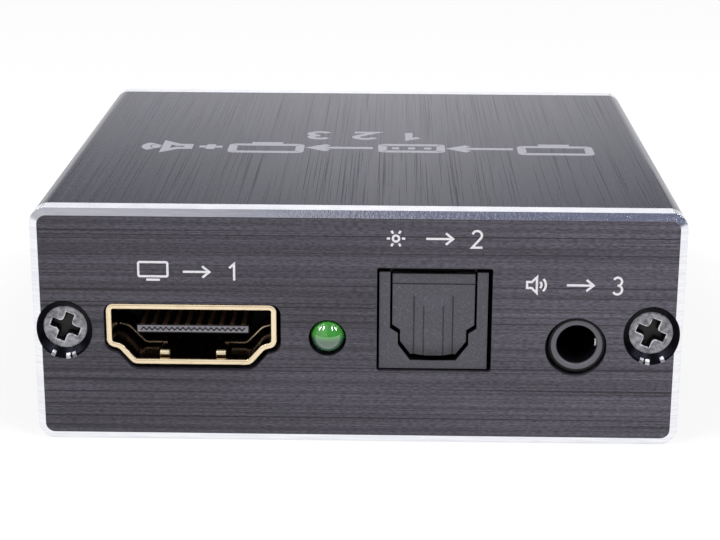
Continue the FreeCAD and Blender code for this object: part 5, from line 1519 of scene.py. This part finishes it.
    def build_teeth(self) -> None:
        """The zigzag groove in the tongue's front, between the two rows of contacts.

        Its points stand a tooth apart along the tongue, by turns half a tooth under and over its middle.
        """
        teeth = int(2 * (self.tongue_half - self.tooth_margin) / self.tooth_pitch)
        spots = np.arange(teeth + 1)
        middle = self.tongue_level + self.tongue_thick / 2
        zigzag = np.column_stack([(spots - teeth / 2) * self.tooth_pitch,
                                  middle + np.where(spots % 2, self.tooth_half, -self.tooth_half)])
        flat, faces = ribbon(zigzag, self.tooth_stroke, 0.0, self.tooth_thick)
        depth = self.tongue_depth - self.tip_proud - flat[:, 2]
        self.add_piece("tongue_teeth", (np.column_stack([flat[:, 0], depth, flat[:, 1]]), faces),
                       Finishes.nylon, "insulator")

    def build_finger_tips(self) -> None:
        """The ends of the two lower sprung fingers: a block each, with soft edges.

        The block bulges with the eighth root of one less the eighth power of the distance from its middle,
        and its side view is a quarter of a round with corners, by the square root of cosine and sine.
        """
        across, up = np.meshgrid(np.linspace(-1, 1, 17), np.linspace(0, np.pi / 2, 13), indexing="ij")
        bulge = np.clip(1 - across ** 8, 0, 1) ** 0.125
        depth = self.block_deep * bulge * np.sqrt(np.abs(np.cos(up)))
        rise = (self.finger_rise - self.block_cut) * bulge * np.sqrt(np.sin(up))
        points = np.stack([across * (self.finger_width / 2 + self.block_play),
                           self.finger_front + self.block_back - depth,
                           self.wall + self.block_foot + rise], axis=2).reshape(-1, 3)
        shells = [(points + np.array([side * self.finger_spread / 2, 0, 0]), grid_faces(*across.shape))
                  for side in (-1, 1)]
        self.add_piece("finger_tips", join(*shells), Finishes.finger_gold, "shell", 60.0)


@dataclass
class OpticalSocket:
    """The optical socket with its sprung shutter and light source."""

    def build(self) -> None:
        """Dress the socket."""
        dress(Finishes.abs_block, "optical_housing", smooth=True)
        dress(Finishes.abs_grey, "optical_shutter", smooth=True)
        dress(Finishes.black_pin, "optical_shutter_pin")
        dress(Finishes.spring_steel, "optical_shutter_spring")
        dress(Finishes.clear_lens, "optical_emitter", smooth=True)
        dress(Finishes.tinned, "optical_leads")


@dataclass
class AudioJack:
    """The round audio socket: its body, a turned collar over the mouth, and a contact tip inside, painted
    near white as a glint.

    Attributes:
        collar: The collar's radius, in mm.
        bore: The bore's radius, in mm.
        lead_in: The bevel at the bore's mouth, in mm.
        proud: How far the collar's shell stands over the body's own surface, in mm.
        soft: The radius of its outer edge, in mm.
        depth: How deep it reaches, in mm.
        tip_gap: The gap between the contact's tip and the bore's wall, in mm.
        tip_width: The tip's width across, in mm.
        tip_half: Half its height, in mm.
        tip_depth: How deep its ends lie, in mm.
        tip_bow: How far its middle bows outwards, in mm.
        tip_thick: Its thickness, in mm.
    """
    collar: float = 2.32
    bore: float = 1.8
    lead_in: float = 0.08
    proud: float = 0.012
    soft: float = 0.12
    depth: float = 0.3
    tip_gap: float = 0.03
    tip_width: float = 0.13
    tip_half: float = 0.32
    tip_depth: float = 0.8
    tip_bow: float = 0.15
    tip_thick: float = 0.08

    def build(self) -> None:
        """Dress the socket and add its collar and contact."""
        dress(Finishes.nylon, "audio_jack_body", smooth=True)
        dress(Finishes.tinned, "audio_jack_contacts")
        outer, inner = self.collar + self.proud, self.bore - self.proud
        rim = arc(outer - self.soft, self.soft - self.proud, self.soft, 0, -90, 7)
        profile = np.vstack([[(outer, self.depth)], rim,
                             [(inner + self.lead_in + 0.04, -self.proud), (inner + self.lead_in, 0.01),
                              (inner + 0.02, self.lead_in), (inner, self.lead_in + 0.05),
                              (inner, self.depth)]])
        points, faces = revolve(profile, 96)
        new_piece("audio_jack_collar", (on_end(points, End.FRONT, front_of("audio_jack_body")), faces),
                  Finishes.abs_collar, "audio_jack_body")
        self.build_contact()

    def build_contact(self) -> None:
        """The tip of a sprung contact at the bore's right wall: a leaf bowed by the cosine of its height,
        painted near white as a glint.
        """
        up, across = np.meshgrid(np.linspace(-1, 1, 9), np.linspace(0, 1, 5), indexing="ij")
        sheets = [np.stack([self.bore - self.tip_gap - self.tip_width * across,
                            self.tip_depth + shift - self.tip_bow * np.cos(up * np.pi / 2),
                            self.tip_half * up], axis=2).reshape(-1, 3) for shift in (0.0, self.tip_thick)]
        points, faces = join(*[(sheet, grid_faces(*up.shape)) for sheet in sheets])
        # Painted glint: the tip takes a near white matt finish
        new_piece("audio_jack_spring", (on_end(points, End.FRONT, front_of("audio_jack_body")), faces),
                  Finishes.contact_tip, "audio_jack_contacts")


@dataclass
class StatusLamp:
    """The green lamp: a domed lens with its flange.

    Attributes:
        radius: The dome's radius, in mm.
        flange: The flange's radius, in mm.
        flange_thick: The flange's thickness, in mm.
        soft: The bevel at the flange's edges, in mm.
        fillet: The fillet in front of it, in mm.
        length: The whole length, in mm.
    """
    radius: float = 1.5
    flange: float = 1.9
    flange_thick: float = 1.0
    soft: float = 0.05
    fillet: float = 0.02
    length: float = 5.05

    def build(self) -> None:
        """Turn the lens, and dress the leads."""
        dome = arc(0, self.radius, self.radius, -90, 0, 24)
        back = self.length - self.flange_thick
        profile = np.vstack([dome, [(self.radius, back - self.fillet), (self.radius + self.fillet, back),
                                    (self.flange - self.soft, back), (self.flange, back + self.soft),
                                    (self.flange, self.length - self.soft),
                                    (self.flange - self.soft, self.length), (0.0, self.length)]])
        points, faces = revolve(profile, 72)
        new_piece("status_lamp_dome", (on_end(points, End.FRONT, front_of("status_lamp_lens")), faces),
                  Finishes.green_lens, "status_lamp_lens", True)
        dress(Finishes.tinned, "status_lamp_leads")


@dataclass
class RearControls:
    """The power inlet and the slide switch."""

    def build(self) -> None:
        """Dress both."""
        dress(Finishes.nylon, "power_jack_body", "mode_switch_base", "mode_switch_knob", smooth=True)
        dress(Finishes.tinned, "power_jack_pin", "power_jack_leaf", "mode_switch_frame", "mode_switch_pins",
              smooth=True)
        dress(Finishes.contacts, "mode_switch_bridge")


@dataclass
class Electronics:
    """The circuit board and what is soldered to it."""

    def build(self) -> None:
        """Dress the board and its parts."""
        dress(Finishes.board, "circuit_board")
        dress(Finishes.package, "video_chip", "audio_chip", "memory_chip", "voltage_regulator")
        dress(Finishes.tinned, "video_chip_leads", "audio_chip_leads", "memory_chip_leads",
              "voltage_regulator_leads")
        dress(Finishes.nickel, "crystal_can", smooth=True)
        dress(Finishes.can, "capacitor_cans", smooth=True)
        dress(Finishes.ferrite, "power_inductor", smooth=True)
        dress(Finishes.ceramic, "ceramic_capacitors")


def aim(name: str, data: bpy.types.ID, place: Sequence[float], back: Vector,
        guide: Vector) -> bpy.types.Object:
    """Put a lamp or a camera into the scene and turn it.

    Args:
        name: Its name.
        data: The lamp's or the camera's data.
        place: Where it stands, in metres.
        back: The direction behind it.
        guide: The direction that its upper side is nearest to.

    Returns:
        Its object.
    """
    made = bpy.data.objects.new(name, data)
    right = guide.cross(back).normalized()
    turn = Matrix((right, back.cross(right), back)).transposed()
    made.matrix_world = Matrix.Translation(place) @ turn.to_4x4()
    bpy.context.scene.collection.objects.link(made)
    return made


@dataclass
class SoftLight:
    """A long soft light that hangs over the box and points at it.

    Attributes:
        name: Its name.
        place: Where its middle hangs, in metres.
        along: The direction of its long side, seen from above.
        width: Its width, in metres.
        length: Its length, in metres.
        power: Its power, in watts.
    """
    name: str
    place: tuple[float, float, float]
    along: tuple[float, float]
    width: float = 0.05
    length: float = 0.27
    power: float = 1.2

    def build(self) -> None:
        """Hang the light and turn it to the box."""
        data = bpy.data.lights.new(self.name, "AREA")
        data.shape, data.size, data.size_y, data.energy = "RECTANGLE", self.width, self.length, self.power
        back = (Vector(self.place) - Vector((0, 0, 10 * MM))).normalized()
        aim(self.name, data, self.place, back, Vector((*self.along, 0)))


@dataclass
class Studio:
    """A pale floor, soft lights overhead and the camera. Light is given as red, green, blue and alpha.

    Attributes:
        eye: The camera's place.
        look: The direction in which it looks.
        up: The direction that is up in the picture.
        lens: Its focal length on a 36 mm sensor, in mm.
        floor_half: Half the floor's side, in metres.
        paper: The floor's colour.
        glow: The share of pure white in what the camera and reflections see of the floor.
        wall: The light from the wall behind the box, which reflections see.
        wall_turn: The Y of the rays to either side at which it has given way to the room in front.
        wall_top: The heights of the rays between which it falls off.
        wall_bow: How much lower it falls off to the sides.
        over_wall: The light from over that wall.
        front_left: The light from the room at the front left.
        front_right: The light from the room at the front right.
        front_turn: Between which X of the rays the left gives way to the right.
        dim: The light that the room sends to all else.
        lights: The lights overhead.
    """
    eye: tuple[float, float, float] = (0.003093, -0.176591, 0.061962)
    look: tuple[float, float, float] = (-0.01826096, 0.95625508, -0.29196363)
    up: tuple[float, float, float] = (-0.01028553, 0.2918172, 0.9564188)
    lens: float = 90.47
    floor_half: float = 3.0
    paper: str = "#f4f4f4"
    glow: float = 0.8
    wall: Colour = (1.1, 1.1, 1.17, 1.0)
    wall_turn: float = 0.3
    wall_top: tuple[float, float] = (0.2, 0.34)
    wall_bow: float = 0.4
    over_wall: Colour = (0.1, 0.11, 0.15, 1.0)
    front_left: Colour = (0.5, 0.5, 0.53, 1.0)
    front_right: Colour = (0.12, 0.13, 0.21, 1.0)
    front_turn: tuple[float, float] = (-0.12, 0.0)
    dim: Colour = (0.5, 0.5, 0.5, 1.0)
    lights: tuple[SoftLight, ...] = (
        SoftLight("tube_far_left", (-0.56, -0.13, 0.5), (1.045, 0.41)),
        SoftLight("tube_left", (-0.27, -0.25, 0.5), (0.525, 1.0)),
        SoftLight("tube_right", (0.27, -0.25, 0.5), (-0.525, 1.0)),
        SoftLight("tube_far_right", (0.56, -0.13, 0.5), (-1.045, 0.41)))

    def build(self) -> None:
        """Make the camera, the floor, the world and the lamps."""
        self.make_camera()
        self.make_floor()
        self.make_world()
        for light in self.lights:
            light.build()
        bpy.context.scene.view_settings.view_transform = "Standard"

    def make_camera(self) -> None:
        """Stand the camera where the photograph was taken from."""
        data = bpy.data.cameras.new("camera")
        data.sensor_width, data.lens = 36.0, self.lens
        data.clip_start, data.clip_end = 0.01, 10.0
        back = -Vector(self.look).normalized()
        bpy.context.scene.camera = aim("camera", data, self.eye, back, Vector(self.up))

    def white_rays(self, nodes: Nodes) -> Socket:
        """The mask of the rays that see the background.

        Args:
            nodes: The nodes of the floor's material or of the world.

        Returns:
            1 for a ray from the camera, a reflection or one through glass, and 0 for others.
        """
        rays = nodes.add("LightPath").node.outputs
        straight = nodes.add("Math", (rays["Is Camera Ray"], rays["Is Glossy Ray"]), operation="MAXIMUM")
        return nodes.add("Math", (straight, rays["Is Transmission Ray"]), operation="MAXIMUM")

    def make_floor(self) -> None:
        """A white paper sheet: it keeps the object's soft shadow, and reads as white past it."""
        half = self.floor_half
        mesh = bpy.data.meshes.new("floor")
        mesh.from_pydata([(-half, -half, 0), (half, -half, 0), (half, half, 0), (-half, half, 0)], [],
                         [(0, 1, 2, 3)])
        floor = bpy.data.objects.new("floor", mesh)
        bpy.context.scene.collection.objects.link(floor)
        paper = bpy.data.materials.new("white_paper")
        nodes = Nodes(paper, None)
        matt = nodes.add("BsdfDiffuse", [linear(self.paper)])
        glow = nodes.add("Emission", (WHITE, 1.0))
        share = nodes.add("Math", (self.white_rays(nodes), self.glow), operation="MULTIPLY")
        nodes.add("OutputMaterial", [nodes.add("MixShader", (share, matt, glow))])
        mesh.materials.append(paper)

    def make_world(self) -> None:
        """White to the camera, and dim as a light.

        Reflections see a white wall low behind the box, which falls off upwards and to the sides, a grey
        one at the front left, and a dusky room at the front right.
        """
        world = bpy.data.worlds.new("studio")
        nodes = Nodes(world, "Generated")
        across, away, up = nodes.add("SeparateXYZ", [nodes.place]).node.outputs
        behind = nodes.add("MapRange", (away, -self.wall_turn, self.wall_turn), **SMOOTH)
        aside = nodes.add("Math", [across], operation="ABSOLUTE")
        bowed = nodes.add("Math", (aside, self.wall_bow, up), operation="MULTIPLY_ADD")
        low = nodes.add("MapRange", (bowed, *self.wall_top, 1.0, 0.0), **SMOOTH)
        wall = nodes.add("Mix", {0: low, 6: self.over_wall, 7: self.wall}, 2, **COLOUR)
        left = nodes.add("MapRange", (across, *self.front_turn, 1.0, 0.0), **SMOOTH)
        front = nodes.add("Mix", {0: left, 6: self.front_right, 7: self.front_left}, 2, **COLOUR)
        room = nodes.add("Mix", {0: behind, 6: front, 7: wall}, 2, **COLOUR)
        straight = nodes.add("LightPath", out="Is Camera Ray")
        seen = nodes.add("Mix", {0: straight, 6: room, 7: WHITE}, 2, **COLOUR)
        lit = nodes.add("Mix", {0: self.white_rays(nodes), 6: self.dim, 7: seen}, 2, **COLOUR)
        nodes.add("OutputWorld", [nodes.add("Background", (lit, 1.0))])
        bpy.context.scene.world = world


def main() -> None:
    """Build every class in order."""
    logging.basicConfig(level=logging.INFO, format="%(name)s: %(message)s")
    for part in (Studio(), Case(), VideoSocket("video_out", End.FRONT), VideoSocket("video_in", End.REAR),
                 OpticalSocket(), AudioJack(), StatusLamp(), RearControls(), Electronics(), Printing()):
        part.build()
        LOG.info("%s is built", type(part).__name__)


if __name__ == "__main__":
    main()
